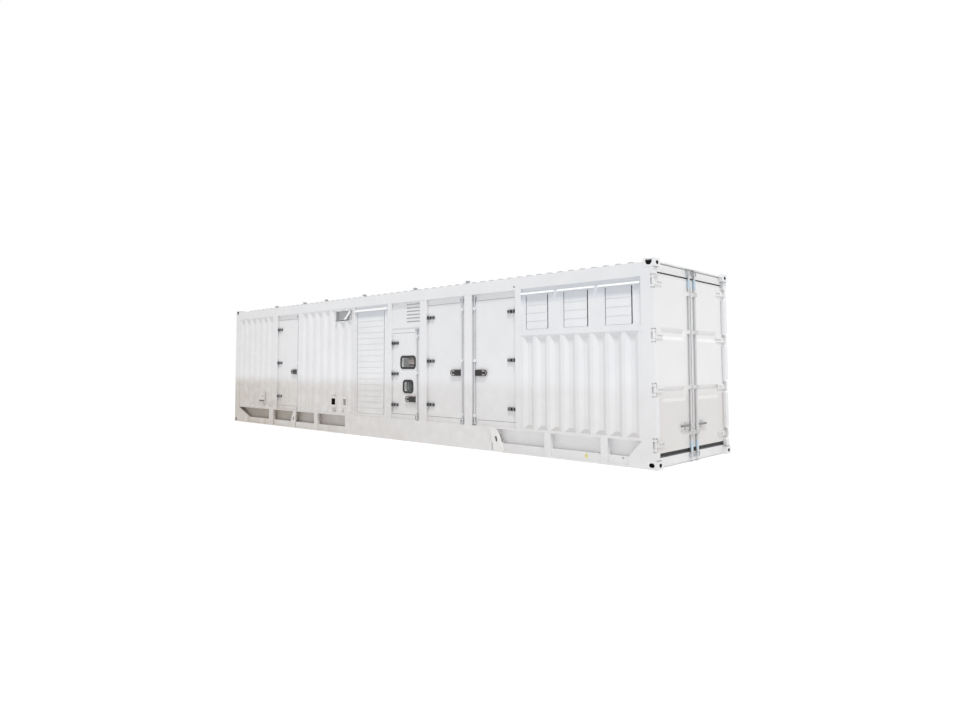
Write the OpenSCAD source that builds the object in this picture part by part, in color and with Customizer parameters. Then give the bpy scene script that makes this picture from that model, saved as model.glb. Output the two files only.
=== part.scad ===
// Containerised diesel generator set: walk-in housing in a 40 ft high container frame.
// Length along X with the double doors at +X, control side at -Y, Z up, rests on Z = 0.

/* [Envelope] */
// Overall length over the corner castings
length = 12192; // [12180:1:12260]
// Overall width over the corner castings
width = 2438; // [2420:1:2470]
// Height over the corner castings
height = 2896; // [2890:1:2930]

/* [Corner castings] */
// Casting length along the container
cast_l = 178; // [170:1:186]
// Casting width across the container
cast_w = 162; // [156:1:170]
// Casting height
cast_h = 118; // [112:1:122]
// Casting wall thickness
cast_t = 28; // [24:1:32]

/* [Frame] */
// Length of a corner post along the container
post_l = 222; // [214:1:230]
// Depth of the side walls, posts and rails
wall_t = 100; // [96:1:110]
// Step from the casting face back to the rail face
rail_in = 3; // [2:1:5]
// Height of the castings above the rail top
rail_drop = 42; // [36:1:46]
// Height of the top side rail
rail_h = 194; // [188:1:200]
// Height of the base frame
base_h = 400; // [396:1:406]
// Height of the lower base rail
low_rail = 140; // [132:1:146]
// Depth of the bays in the base side
bay_in = 100; // [90:1:108]
// Thickness of the sill flange above the bays
sill_t = 20; // [16:1:24]
// Floor thickness
floor_t = 90; // [84:1:96]
// Thickness of the roof with its lining
roof_t = 64; // [56:1:70]

/* [Corrugation] */
// Depth of a wall corrugation
corr_d = 34; // [28:1:38]
// Width of a corrugation floor
corr_low = 70; // [62:1:78]
// Width of one sloping flank
corr_flank = 66; // [58:1:72]
// Length of the die-formed taper at each end
corr_end = 60; // [50:1:70]
// Least pitch of the wall corrugations
corr_pitch = 264; // [258:1:268]
// Pitch of the roof corrugations
roof_pitch = 209; // [205:1:215]

/* [Side layout] */
// Width of the corrugated panel at the far end
panel_1_w = 1738; // [1700:1:1780]
// Width of the post before the man door
post_1_w = 180; // [160:1:200]
// Width of the man door opening
man_w = 960; // [900:1:1000]
// Width of the post after the man door
post_2_w = 130; // [110:1:150]
// Width of the corrugated panel in the middle
panel_2_w = 2070; // [2040:1:2110]
// Width of the tall louvre panel
louvre_w = 1100; // [1060:1:1140]
// Width of the post before the control door
post_3_w = 115; // [100:1:130]
// Width of the control door opening
control_w = 840; // [800:1:880]
// Width of the post after the control door
post_4_w = 190; // [170:1:210]
// Width of the left access door opening
left_w = 990; // [950:1:1020]
// Width of the post between the access doors
post_5_w = 180; // [160:1:200]
// Width of the right access door opening
right_w = 980; // [950:1:1010]
// Width of the post after the access doors
post_6_w = 120; // [100:1:140]

/* [Side doors] */
// Step from the post face back to the door face
door_in = 40; // [38:1:44]
// Running clearance round a side door
door_gap = 5; // [5:1:7]
// Lower edge of the side doors
door_z = 500; // [496:1:506]
// Height of the strip above the tall doors
door_head = 120; // [110:1:130]
// Height of the strip above the control door
control_head = 100; // [90:1:110]
// Height of the slotted panel above that strip
vent_h = 500; // [480:1:520]
// Lock rod radius on the side doors
rod_r = 13; // [11:1:13]
// Hinge knuckle radius on the side doors
knuckle_r = 12; // [11:1:12]
// Height of the lever centre on the tall doors
lever_z = 1300; // [1290:1:1310]

/* [End doors] */
// Step from the casting face back to the end door face
leaf_in = 68; // [66:1:72]
// Step from the casting face back to the door post face
post_in = 20; // [16:1:24]
// Width of a door post beside the leaves
door_post_w = 106; // [102:1:110]
// Half height of the notch in a door post at a hinge
notch = 100; // [96:1:110]
// End door leaf thickness
leaf_t = 60; // [54:1:66]
// Lower edge of the end doors
leaf_z = 203; // [200:1:208]
// Gap round an end door leaf, with the gasket in it
leaf_gap = 16; // [16:1:18]
// Reach of the gasket lip past the leaf edge
lip = 10; // [8:1:10]
// Height of the gasket lip below the leaf
low_lip = 30; // [26:1:32]
// Lock rod radius on the end doors
end_rod_r = 18; // [16:1:19]
// Distance from the centre line to an end lock rod
end_rod_y = 93; // [88:1:98]
// End hinge knuckle radius
end_knuckle_r = 18; // [16:1:19]

/* [Louvres] */
// Vertical pitch of the louvre blades
blade_pitch = 118; // [114:1:120]
// Thickness of a louvre blade
blade_t = 6; // [5:1:7]
// Thickness of hoods and scoop sheets
sheet_t = 6; // [5:1:8]

/* [Lifting lugs] */
// Width of a lifting lug at its top
lug_w1 = 94; // [88:1:100]
// Width of a lifting lug on the ground line
lug_w0 = 150; // [140:1:160]
// Width of the hook slot through a lug
slot_w = 50; // [44:1:56]
// Height of that slot
slot_h = 148; // [140:1:150]
// Radius of the earth terminal hole
earth_r = 8.5; // [7:0.5:9]

/* [Hidden] */
$fn = 40;
e = 1;                              // overshoot of cutting tools
fit = 0.4;                          // radial play of a pin or rod in its bore
L = length;
y0 = width / 2 - rail_in;           // side face of posts and rails
in_y = y0 - wall_t;                 // inner face of the side walls
z_rail = height - rail_drop;        // top of the rails and the roof edge
z_wall = z_rail - rail_h;           // underside of the top side rails
z_post = height - cast_h;           // top of the corner posts
z_floor = base_h + floor_t;
post_w = cast_w - rail_in;          // corner post width, in line with the casting's inner face
post_y = y0 - post_w;
lug_top = 2956;                     // lug stations, from each end
lug_bot = 2822;
lug_z = 216;
lug_rise = base_h - sill_t;
tank_x = [5000, L - 2892];
door_top = z_wall - door_head;
control_top = z_wall - vent_h - control_head;

// side stations, from the far end
function after(a, w) = [a[1], a[1] + w];
panel_1 = [post_l, post_l + panel_1_w];
post_1 = after(panel_1, post_1_w);
man_x = after(post_1, man_w);
post_2 = after(man_x, post_2_w);
panel_2 = after(post_2, panel_2_w);
louvre_x = after(panel_2, louvre_w);
post_3 = after(louvre_x, post_3_w);
control_x = after(post_3, control_w);
post_4 = after(control_x, post_4_w);
left_x = after(post_4, left_w);
post_5 = after(left_x, post_5_w);
right_x = after(post_5, right_w);
post_6 = after(right_x, post_6_w);
panel_3 = [post_6[1], L - post_l];
mid_rail = [z_wall - 755, z_wall - 690];
scoop_x = [panel_2[1] - 700, panel_2[1] - 160];
scoop_z = [z_wall - 270, z_wall - 50];
pocket_x = [[panel_2[1] - 850, panel_2[1] - 630], [panel_2[1] - 430, panel_2[1] - 240]];
pocket_z = [base_h + 140, base_h + 380];

// hinge axis and lock rod lines in the side frame
hinge_y = knuckle_r;
hinge_in = 15;
boss = 4;                           // collars stand this much proud of the rods
rod_y = door_in - rod_r - boss - 1;
rod_in = 45;
louvre_in = 24;
pocket_in = 66;                     // depth of the recesses for the scoop and the pockets
door_mid = (door_z + door_top) / 2;
hinge_zs = [door_z + 212, door_mid - 10, door_top - 228];
control_zs = [door_z + 172, (door_z + control_top) / 2 - 8, control_top - 190];
man_rod = man_x[1] - rod_in;
control_rod = control_x[1] - rod_in - 50;
left_rod = left_x[1] - rod_in - 30;
right_rod = right_x[0] + rod_in;

// end door lines
door_post_y = y0 - door_post_w;     // inner face of the door posts
deck_end = L - leaf_in - leaf_t - 32;
leaf_top = z_rail - 148;
header_z = leaf_top + 24;
sill_z = leaf_z - low_lip - 8;
leaf_back = leaf_in + leaf_t + 12;
leaf_y1 = door_post_y - leaf_gap;   // hinge edge of a leaf
leaf_y0 = leaf_gap;                 // meeting edge of a leaf
ehinge_d = 38;                      // hinge axis, in from the end face
ehinge_y = width / 2 - 24;
erod_d = leaf_in - end_rod_r - boss - 1;
ehinge_zs = [for (i = [0:3]) leaf_z + 127 + i * (leaf_top - 126 - leaf_z - 127) / 3];

// ---------- frames of reference ----------
// side frame: x from the far end, y inwards from the post face, z up
module front() { translate([-L / 2, -y0, 0]) children(); }
module back() { mirror([0, 1, 0]) front() children(); }
module both() { front() children(); back() children(); }
// end frame: x inwards from the door end face, y across
module door_end() { translate([L / 2, 0, 0]) mirror([1, 0, 0]) children(); }

module box(x, y, z) { translate([x[0], y[0], z[0]]) cube([x[1] - x[0], y[1] - y[0], z[1] - z[0]]); }
// plate outlined in x and z, from y = a to y = b
module plate(pts, a, b) {
  translate([0, b, 0]) rotate([90, 0, 0]) linear_extrude(b - a) polygon(pts);
}
// rod upright along z
module rod(x, y, z, r) { translate([x, y, z[0]]) cylinder(h = z[1] - z[0], r = r); }
// slot with round ends along x, upright in the x z plane
module slot_y(l, h, a, b) {
  for (s = [-1, 1]) translate([s * (l - h) / 2, b, 0]) rotate([90, 0, 0]) cylinder(h = b - a, d = h);
  box([-(l - h) / 2, (l - h) / 2], [a, b], [-h / 2, h / 2]);
}

// ---------- die-formed sheet ----------
// grooves with tapered ends, cut in from y = 0
module grooves(xs, z, d, low, flank, taper) {
  w = low + 2 * flank;
  intersection() {
    translate([0, 0, z[0] - e]) linear_extrude(z[1] - z[0] + 2 * e)
      for (x = xs) polygon([[x - w / 2 - flank / d, -e], [x + w / 2 + flank / d, -e],
        [x + low / 2, d], [x - low / 2, d]]);
    rotate([90, 0, 90]) translate([0, 0, xs[0] - w]) linear_extrude(xs[len(xs) - 1] - xs[0] + 2 * w)
      polygon([[-e, z[0]], [-e, z[1]], [0, z[1]], [d, z[1] - taper], [d, z[0] + taper], [0, z[0]]]);
  }
}
module corrugated(x, z, xs, y = [6, 100]) {
  difference() {
    box(x, y, z);
    translate([0, y[0], 0]) grooves(xs, [z[0] + 18, z[1] - 18], corr_d, corr_low, corr_flank, corr_end);
  }
}
function row(x, edge) = let (w = x[1] - x[0] - 2 * edge, n = floor(w / corr_pitch))
  [for (i = [0:n]) x[0] + edge + w * i / n];

// ---------- frame ----------
module casting() {
  difference() {
    cube([cast_l, cast_w, cast_h]);
    translate([cast_t, cast_t, -e]) cube([cast_l - 2 * cast_t, cast_w - 2 * cast_t, cast_h - cast_t + e]);
    translate([cast_l / 2, 0, cast_h / 2]) slot_y(82, 62, -e, cast_t + e);
    translate([cast_l / 2, cast_w / 2, 0]) {
      translate([-cast_l / 2, 0, cast_h / 2]) rotate([0, 0, 90]) slot_y(76, 54, -cast_t - e, e);
      for (s = [-1, 1]) translate([s * 28, 0, cast_h - cast_t - e]) cylinder(h = cast_t + 2 * e, r = 30);
      translate([-28, -30, cast_h - cast_t - e]) cube([56, 60, cast_t + 2 * e]);
    }
  }
}
module castings4() {
  for (sx = [0, 1], sy = [0, 1]) mirror([sx, 0, 0]) mirror([0, sy, 0])
    translate([-L / 2, -width / 2, 0]) children();
}
module bottom_castings() {
  color("white") castings4() translate([0, 0, cast_h]) mirror([0, 0, 1]) casting();
}
module top_castings() {
  color("white") castings4() translate([0, 0, z_post]) casting();
}
module corner_posts() {
  color("white") for (s = [0, 1]) mirror([0, s, 0]) {
    translate([0, y0, 0]) mirror([0, 1, 0]) translate([-L / 2, 0, 0])
      box([rail_in, post_l], [0, post_w], [cast_h, z_post]);
    door_end() difference() {
      union() {
        box([post_in, post_l], [door_post_y, y0], [cast_h, z_post]);
        box([leaf_back, post_l], [post_y, y0], [cast_h, z_post]);
      }
      for (z = ehinge_zs) box([post_in - e, leaf_in + 5], [door_post_y - e, y0 + e], [z - notch, z + notch]);
    }
  }
}
module top_side_rails() {
  color("white") both() difference() {
    box([cast_l, L - cast_l], [0, wall_t], [z_wall, z_rail]);
    box([0, post_l], [-e, wall_t + e], [z_wall - e, z_post]);
    box([L - post_l, L], [-e, wall_t + e], [z_wall - e, z_post]);
  }
}
module door_header() {
  color("white") door_end() {
    box([leaf_in + 4, 170], [-post_y, post_y], [header_z, z_rail]);
    box([leaf_in + 4, leaf_back], [-door_post_y, door_post_y], [header_z, z_post]);
    box([10, 170], [-post_y, post_y], [z_rail, z_rail + 14]);
  }
}
module door_sill() {
  color("white") door_end() difference() {
    union() {
      box([leaf_in + 4, 190], [-post_y, post_y], [30, sill_z]);
      box([leaf_in + 4, leaf_back], [-door_post_y, door_post_y], [cast_h, sill_z]);
    }
    box([leaf_back + 8, 190 + e], [-post_y - e, post_y + e], [low_rail - 25, sill_z + e]);
  }
}
module far_end_rails() {
  color("white") translate([-L / 2, 0, 0]) {
    box([rail_in + 4, 110], [-post_y, post_y], [30, 330]);
    box([rail_in + 4, 110], [-post_y, post_y], [z_wall, z_rail]);
  }
}

// ---------- base frame ----------
module lug_outline() {
  polygon([[lug_bot - lug_w0 / 2, 0], [lug_bot + lug_w0 / 2, 0],
    [lug_top + lug_w1 / 2, lug_rise], [lug_top - lug_w1 / 2, lug_rise]]);
}
module lugs2(a, b) {
  for (s = [0, 1]) translate([s * L, 0, 0]) mirror([s, 0, 0])
    translate([0, b, 0]) rotate([90, 0, 0]) linear_extrude(b - a) lug_outline();
}
bay_2 = [1990, 3800];
bay_3 = [4045, 4985];
bay_4 = [L - 3110, L - 1919];
bay_5 = [L - 1797, L - 900];
bay_6 = [L - 785, L - post_l - 12];
module bays() {
  z1 = base_h - sill_t;
  plate([[330, z1], [1790, z1], [1790, low_rail], [700, low_rail]], -e, bay_in);
  for (x = [bay_2, bay_3, bay_5]) box(x, [-e, bay_in], [low_rail, z1]);
  plate([[bay_4[0], z1], [bay_4[1], z1], [bay_4[1], low_rail], [bay_4[0] + 88, low_rail]], -e, bay_in);
  plate([[bay_6[0], z1], [bay_6[1], z1], [L - 450, low_rail], [bay_6[0], low_rail]], -e, bay_in);
}
earth_x = bay_5[0] + 639;
earth_z = 91;
module base_side() {
  difference() {
    box([cast_l, L - cast_l], [0, post_w], [0, base_h]);
    box([0, post_l], [-e, post_w + e], [cast_h, base_h + e]);
    box([L - post_l, L], [-e, post_w + e], [cast_h, base_h + e]);
    bays();
    lugs2(-e, bay_in);
    translate([earth_x, 30, earth_z]) rotate([90, 0, 0]) cylinder(h = 30 + e, r = earth_r);
  }
}
module base_side_front() { color("white") front() base_side(); }
module base_side_back() { color("white") back() base_side(); }
// leaning lug with a slot through it along the base
module lifting_lugs() {
  color("white") both() difference() {
    lugs2(-rail_in, bay_in);
    for (s = [0, 1]) translate([s * L, 0, 0]) mirror([s, 0, 0])
      translate([lug_bot + (lug_top - lug_bot) * lug_z / lug_rise, bay_in / 2, lug_z]) {
        for (t = [-1, 1]) translate([-lug_w0, 0, t * (slot_h - slot_w) / 2])
          rotate([0, 90, 0]) cylinder(h = 2 * lug_w0, d = slot_w);
        box([-lug_w0, lug_w0], [-slot_w / 2, slot_w / 2], [-(slot_h - slot_w) / 2, (slot_h - slot_w) / 2]);
      }
  }
}
module base_tank() {
  color("white") translate([-L / 2, 0, 0]) box(tank_x, [-post_y, post_y], [60, base_h]);
}
module floor_beams() {
  color("white") translate([-L / 2, 0, 0]) {
    for (x = [each [760:640:tank_x[0] - 100], each [L - 2492:560:L - 692]])
      box([x, x + 70], [-post_y, post_y], [low_rail, base_h]);
    box([deck_end - 70, deck_end], [-post_y, post_y], [low_rail - 25, base_h]);
  }
}
module floor_deck() {
  color("silver") translate([-L / 2, 0, 0])
    difference() {
      box([110, deck_end], [-in_y, in_y], [base_h, z_floor]);
      for (s = [-1, 1]) {
        box([0, post_l], [s > 0 ? post_y : -y0, s > 0 ? y0 : -post_y], [base_h - e, z_floor + e]);
        box([L - post_l, L], [s > 0 ? post_y : -y0, s > 0 ? y0 : -post_y], [base_h - e, z_floor + e]);
      }
    }
}

// ---------- side walls ----------
module side_post(x) { box(x, [0, wall_t], [base_h, z_wall]); }
module front_posts() {
  color("white") front() {
    for (p = [post_1, post_2, post_3, post_4, post_5, post_6]) side_post(p);
  }
}
module front_panels() {
  color("white") front() {
    corrugated(panel_1, [base_h, z_wall], row(panel_1, 145));
    difference() {
      corrugated(panel_2, [base_h, z_wall], row(panel_2, 150));
      box(scoop_x, [0, pocket_in], scoop_z);
      for (x = pocket_x) box([x[0] + 24, x[1] - 44], [0, pocket_in], [pocket_z[0] + 49, pocket_z[1] - 44]);
    }
    corrugated(panel_3, [base_h, mid_rail[0]], row(panel_3, 150));
  }
}
// flat strips above and below the doors, set back with the door faces
module door_surrounds() {
  color("white") front() {
    for (x = [man_x, left_x, right_x]) {
      box(x, [door_in + 2, wall_t], [base_h, door_z - door_gap]);
      box(x, [door_in + 2, wall_t], [door_top + door_gap, z_wall]);
    }
    box(control_x, [door_in + 2, wall_t], [base_h, door_z - door_gap]);
    box(control_x, [door_in + 2, wall_t], [control_top + door_gap, z_wall - vent_h]);
    box(panel_3, [0, wall_t], mid_rail);
  }
}
module control_vent_panel() {
  color("white") front() difference() {
    box(control_x, [door_in - 8, wall_t], [z_wall - vent_h, z_wall]);
    for (i = [0:floor((vent_h - 150) / 66)]) translate([control_x[1] - 208, 0, z_wall - vent_h + 112 + i * 66])
      slot_y(control_w / 2 - 6, 26, -e, wall_t + e);
  }
}

// ---------- louvres ----------
// one blade, sloping down and outwards, from x[0] to x[1]
module blade(x, z) {
  translate([x[0], 0, z]) rotate([90, 0, 90]) linear_extrude(x[1] - x[0])
    polygon([[louvre_in + 8, 0], [louvre_in + 8, -12], [louvre_in + 8 + blade_t, -12],
      [louvre_in + 8 + blade_t, -2], [louvre_in + 44, 88], [louvre_in + 44, 108]]);
}
module louvre(x, z, hole_x, hole_z) {
  difference() {
    box(x, [louvre_in, wall_t], z);
    box(hole_x, [-e, wall_t + e], hole_z);
  }
  for (i = [0:floor((hole_z[1] - hole_z[0] - 110) / blade_pitch)])
    blade([hole_x[0] - e, hole_x[1] + e], hole_z[0] + 20 + i * blade_pitch);
}
module tall_louvre() {
  color("white") front() louvre(louvre_x, [base_h, z_wall], tall_hole, [base_h + 58, z_wall - 120]);
}
tall_hole = [louvre_x[0] + 140, louvre_x[1] - 90];
high_n = 3;
high_mullion = 289;
high_edge = [103, 122];
high_w = (panel_3[1] - panel_3[0] - high_edge[0] - high_edge[1] - (high_n - 1) * high_mullion) / high_n;
function high_hole(i) = let (x = panel_3[0] + high_edge[0] + i * (high_w + high_mullion)) [x, x + high_w];
module high_row() {
  for (i = [0:high_n - 1]) {
    h = high_hole(i);
    louvre([i == 0 ? panel_3[0] : h[0] - high_mullion / 2, i == high_n - 1 ? panel_3[1] : h[1] + high_mullion / 2],
      [mid_rail[1], z_wall], h, [mid_rail[1] + 30, z_wall - 100]);
  }
}
module high_louvres() { color("white") front() high_row(); }
// folded rain hood: sloping top, drop at the front and closed ends
module hood(x, z) {
  difference() {
    translate([x[0], 0, 0]) rotate([90, 0, 90]) linear_extrude(x[1] - x[0])
      polygon([[louvre_in, z[0]], [louvre_in, z[1]], [4 - rail_in, z[1] - 22], [-rail_in, z[1] - 26],
        [-rail_in, z[0]]]);
    translate([x[0] + sheet_t, 0, 0]) rotate([90, 0, 90]) linear_extrude(x[1] - x[0] - 2 * sheet_t)
      polygon([[louvre_in + e, z[0] - e], [louvre_in + e, z[1] - 6 - sheet_t], [sheet_t - rail_in, z[1] - 29 - sheet_t],
        [sheet_t - rail_in, z[0] - e]]);
  }
}
hood_z = [z_wall - 95, z_wall - 28];
module rain_hoods() {
  color("white") front() {
    for (i = [0:high_n - 1]) hood([high_hole(i)[0] - 90, high_hole(i)[1] + 100], hood_z);
    hood([louvre_x[0] + 5, louvre_x[1] - 20], [hood_z[0] - 9, hood_z[1]]);
  }
}
module vent_scoop() {
  x = scoop_x;
  z = scoop_z;
  color("white") front() difference() {
    translate([x[0], 0, 0]) rotate([90, 0, 90]) linear_extrude(x[1] - x[0])
      polygon([[pocket_in, z[0]], [pocket_in, z[1]], [16, z[1]], [-rail_in, z[0] + 40], [-rail_in, z[0]]]);
    box([x[0] + sheet_t, x[1] - sheet_t], [sheet_t - rail_in, pocket_in - sheet_t], [z[0] + sheet_t, z[1] - sheet_t]);
    box([x[0] + sheet_t, x[1] - sheet_t], [-rail_in - e, pocket_in - sheet_t], [z[0] + 26, z[1] - sheet_t]);
  }
}
// cable pocket with a rounded foot and a proud rim
module pocket_boxes() {
  z = pocket_z;
  color("white") front() for (x = pocket_x) difference() {
    union() {
      plate([[x[0], z[1]], [x[1], z[1]], [x[1], z[0] + 34], [x[1] - 34, z[0]], [x[0] + 34, z[0]], [x[0], z[0] + 34]],
        -rail_in, 6);
      box([x[0] + 24, x[1] - 44], [5, pocket_in], [z[0] + 49, z[1] - 44]);
    }
    box([x[0] + 24 + sheet_t, x[1] - 44 - sheet_t], [-rail_in - e, pocket_in - sheet_t],
      [z[0] + 49 + sheet_t, z[1] - 44 - sheet_t]);
  }
}
module service_box() {
  color("white") front() box([panel_1[1] - 680, panel_1[1] - 390], [-rail_in, 6], [base_h + 150, base_h + 380]);
}

// ---------- unseen side, same storeys and materials ----------
back_seam = after(louvre_x, 130);
module back_posts() {
  color("white") back() for (p = [post_1, post_2, back_seam, post_6]) side_post(p);
}
module back_panels() {
  color("white") back() {
    corrugated(panel_1, [base_h, z_wall], row(panel_1, 145));
    corrugated(man_x, [base_h, z_wall], row(man_x, 170));
    corrugated(panel_2, [base_h, z_wall], row(panel_2, 150));
    corrugated([back_seam[1], post_6[0]], [base_h, z_wall], row([back_seam[1], post_6[0]], 150));
    corrugated(panel_3, [base_h, mid_rail[0]], row(panel_3, 150));
    box(panel_3, [0, wall_t], mid_rail);
  }
}
module back_louvres() {
  color("white") back() {
    louvre(louvre_x, [base_h, z_wall], tall_hole, [base_h + 58, z_wall - 120]);
    high_row();
  }
}
module far_end_panel() {
  color("white") translate([-L / 2 + rail_in + 4, 0, 0]) rotate([0, 0, -90])
    corrugated([-post_y, post_y], [330, z_wall], row([-post_y, post_y], 150), [6, 103]);
}

// ---------- roof ----------
module roof_panel() {
  x0 = 110;
  x1 = L - 170;
  n = floor((x1 - x0 - 300) / roof_pitch);
  color("white") translate([-L / 2, 0, 0]) difference() {
    box([x0, x1], [-in_y, in_y], [z_rail - roof_t, z_rail + 10]);
    for (s = [0, 1]) mirror([0, s, 0]) {
      box([0, cast_l + 0.3], [post_y - 0.3, y0], [z_post - e, height]);
      box([L - cast_l - 0.3, L], [post_y - 0.3, y0], [z_post - e, height]);
    }
    translate([0, 0, z_rail + 10]) rotate([-90, 0, 0])
      grooves([for (i = [0:n]) x0 + 150 + i * roof_pitch], [-in_y + 40, in_y - 40], 20, 60, 40, 30);
  }
}
cap_xs = [1817, 3097, 3998, 5409, 7041, 8467];
module roof_caps() {
  color("silver") both() for (x = cap_xs)
    translate([x, 75, z_rail]) {
      cylinder(h = 36, r = 16);
      translate([0, 0, 30]) cylinder(h = 30, r = 38);
    }
}

// ---------- hinges ----------
// side hinge at x, towards = 1 when the door lies towards +x
block_h = 27;                       // half height of a hinge block
module side_hinge_fixed(x, z, towards) {
  translate([x, hinge_y, z]) mirror([towards > 0 ? 0 : 1, 0, 0]) {
    for (s = [-1, 1]) translate([0, 0, s * (block_h + 17) - 12]) {
      cylinder(h = 24, r = knuckle_r);
      translate([-hinge_in - door_gap, -5, 0]) cube([hinge_in + door_gap, 10, 24]);
    }
    translate([0, 0, -block_h - 29]) cylinder(h = 2 * block_h + 58, r = 5);
  }
}
// knuckle, web and two raised blocks on the door face
module side_strap(x, z, towards) {
  h = 2 * block_h;
  translate([x, hinge_y, z - block_h]) mirror([towards > 0 ? 0 : 1, 0, 0]) difference() {
    union() {
      cylinder(h = h, r = knuckle_r);
      translate([-6, 0, 0]) cube([12, door_in - hinge_y, h]);
      translate([-6, door_in - hinge_y - 8, 0]) cube([168, 8, h]);
      translate([14, door_in - hinge_y - 24, 0]) cube([54, 24, h]);
      translate([88, door_in - hinge_y - 24, 0]) cube([74, 24, h]);
    }
    translate([0, 0, -e]) cylinder(h = h + 2 * e, r = 5 + fit);
  }
}
module side_hinges() {
  color("dimgray") front() {
    for (z = hinge_zs) {
      side_hinge_fixed(man_x[0] + door_gap + hinge_in, z, 1);
      side_hinge_fixed(left_x[0] + door_gap + hinge_in, z, 1);
      side_hinge_fixed(right_x[1] - door_gap - hinge_in, z, -1);
    }
    for (z = control_zs) side_hinge_fixed(control_x[0] + door_gap + hinge_in, z, 1);
  }
}

// ---------- side doors ----------
// rod guide with sloping cheeks
module bracket(x, z) {
  f = rod_y - rod_r - 5;
  difference() {
    translate([0, 0, z - 22]) linear_extrude(44)
      polygon([[x - 34, door_in], [x - 20, f], [x + 20, f], [x + 34, door_in]]);
    rod(x, rod_y, [z - 23, z + 23], rod_r + fit);
  }
}
module side_leaf(x, z, rod_x, brackets) {
  box([x[0] + door_gap, x[1] - door_gap], [door_in, wall_t], z);
  for (b = brackets) bracket(rod_x, b);
}
// D shaped lever, round end away from the rod, with a crescent grip hole
module lever(dir, len) {
  mirror([dir > 0 ? 0 : 1, 0, 0]) difference() {
    translate([len / 2, 0, 0]) slot_y(len, 110, -14, 0);
    difference() {
      translate([len - 55, 1, 0]) rotate([90, 0, 0]) cylinder(h = 16, r = 40);
      translate([len - 93, 2, 0]) rotate([90, 0, 0]) cylinder(h = 18, r = 52);
    }
  }
}
module side_rod(x, z, grip, dir, len) {
  rod(x, rod_y, z, rod_r);
  for (s = z) rod(x, rod_y, [s - 14, s + 14], rod_r + boss);
  rod(x, rod_y, [grip - 60, grip + 60], rod_r + boss);
  translate([x, rod_y, grip]) lever(dir, len);
}
rod_zs = [door_z - 60, door_top + 65];
tall_brackets = [door_z + 70, door_mid - 10, door_top - 130];
module man_door() {
  color("white") front() side_leaf(man_x, [door_z, door_top], man_rod, tall_brackets);
}
module man_door_straps() {
  color("dimgray") front() for (z = hinge_zs) side_strap(man_x[0] + door_gap + hinge_in, z, 1);
}
module man_door_rod() {
  color("silver") front() side_rod(man_rod, rod_zs, lever_z, -1, 290);
}
window_1 = [control_x[1] - 376, control_top - 567, 450, 258];
window_2 = [control_x[1] - 372, control_top - 1029, 305, 258];
ring = 42;                          // width of the window gasket
module window_cut(w, g, a, b) {
  r = 75 + g;
  translate([w[0], 0, w[1]]) for (sx = [-1, 1], sz = [-1, 1])
    translate([sx * (w[2] / 2 + g - r), b, sz * (w[3] / 2 + g - r)]) rotate([90, 0, 0]) cylinder(h = b - a, r = r);
  box([w[0] - w[2] / 2 - g + r, w[0] + w[2] / 2 + g - r], [a, b], [w[1] - w[3] / 2 - g, w[1] + w[3] / 2 + g]);
  box([w[0] - w[2] / 2 - g, w[0] + w[2] / 2 + g], [a, b], [w[1] - w[3] / 2 - g + r, w[1] + w[3] / 2 + g - r]);
}
// the glass outline is each window's size less its ring
module control_door() {
  color("white") front() difference() {
    side_leaf(control_x, [door_z, control_top], control_rod, [door_z + 70, control_top - 770, control_top - 80]);
    for (w = [window_1, window_2]) window_cut(w, -ring, door_in - e, wall_t + e);
  }
}
module control_door_straps() {
  color("dimgray") front() for (z = control_zs) side_strap(control_x[0] + door_gap + hinge_in, z, 1);
}
module control_windows() {
  color("gray", 0.4) front() for (w = [window_1, window_2]) window_cut(w, -ring, door_in + 6, door_in + 12);
}
module control_gaskets() {
  color("black") front() for (w = [window_1, window_2]) difference() {
    window_cut(w, 0, door_in - 8, door_in);
    window_cut(w, -ring, door_in - 9, door_in + 1);
  }
}
module control_door_rod() {
  color("silver") front() side_rod(control_rod, [door_z - 60, control_top + 45], door_z + 292, -1, 330);
}
module access_door_left() {
  color("white") front() side_leaf(left_x, [door_z, door_top], left_rod, tall_brackets);
}
module access_left_straps() {
  color("dimgray") front() for (z = hinge_zs) side_strap(left_x[0] + door_gap + hinge_in, z, 1);
}
module access_left_rod() {
  color("silver") front() side_rod(left_rod, rod_zs, lever_z, -1, 290);
}
module access_door_right() {
  color("white") front() side_leaf(right_x, [door_z, door_top], right_rod, tall_brackets);
}
module access_right_straps() {
  color("dimgray") front() for (z = hinge_zs) side_strap(right_x[1] - door_gap - hinge_in, z, -1);
}
module access_right_rod() {
  color("silver") front() side_rod(right_rod, rod_zs, lever_z, 1, 290);
}
// open jaws for the rod ends, on the strips above and below the doors
module jaw(x, z) {
  for (s = [-1, 1]) box([x + s * 28 - 5, x + s * 28 + 5], [4, door_in + 2], [z - 22, z + 22]);
}
module lock_keepers() {
  color("silver") {
    front() {
      for (x = [man_rod, left_rod, right_rod]) {
        jaw(x, door_z - 48);
        jaw(x, door_top + 50);
      }
      jaw(control_rod, door_z - 48);
      jaw(control_rod, control_top + 44);
    }
    door_end() for (s = [-1, 1], z = [sill_z - 69, leaf_top + 94], t = [-1, 1])
      box([erod_d - 20, leaf_in + 4], [s * end_rod_y + t * 38 - 6, s * end_rod_y + t * 38 + 6], [z - 34, z + 34]);
  }
}

// ---------- control cabinet behind the control door ----------
module control_cabinet() {
  x = [control_x[0] + 45, control_x[1] - 45];
  y = wall_t + 90;
  color("lightgray") front() difference() {
    box(x, [y, y + 330], [z_floor, control_top - 100]);
    box([x[0] + 160, x[1] - 70], [y - e, y + 24], [control_top - 730, control_top - 400]);
  }
}

// ---------- end doors ----------
// written for the leaf on the +y side
module end_side(s) { door_end() mirror([0, s > 0 ? 0 : 1, 0]) children(); }
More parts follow.
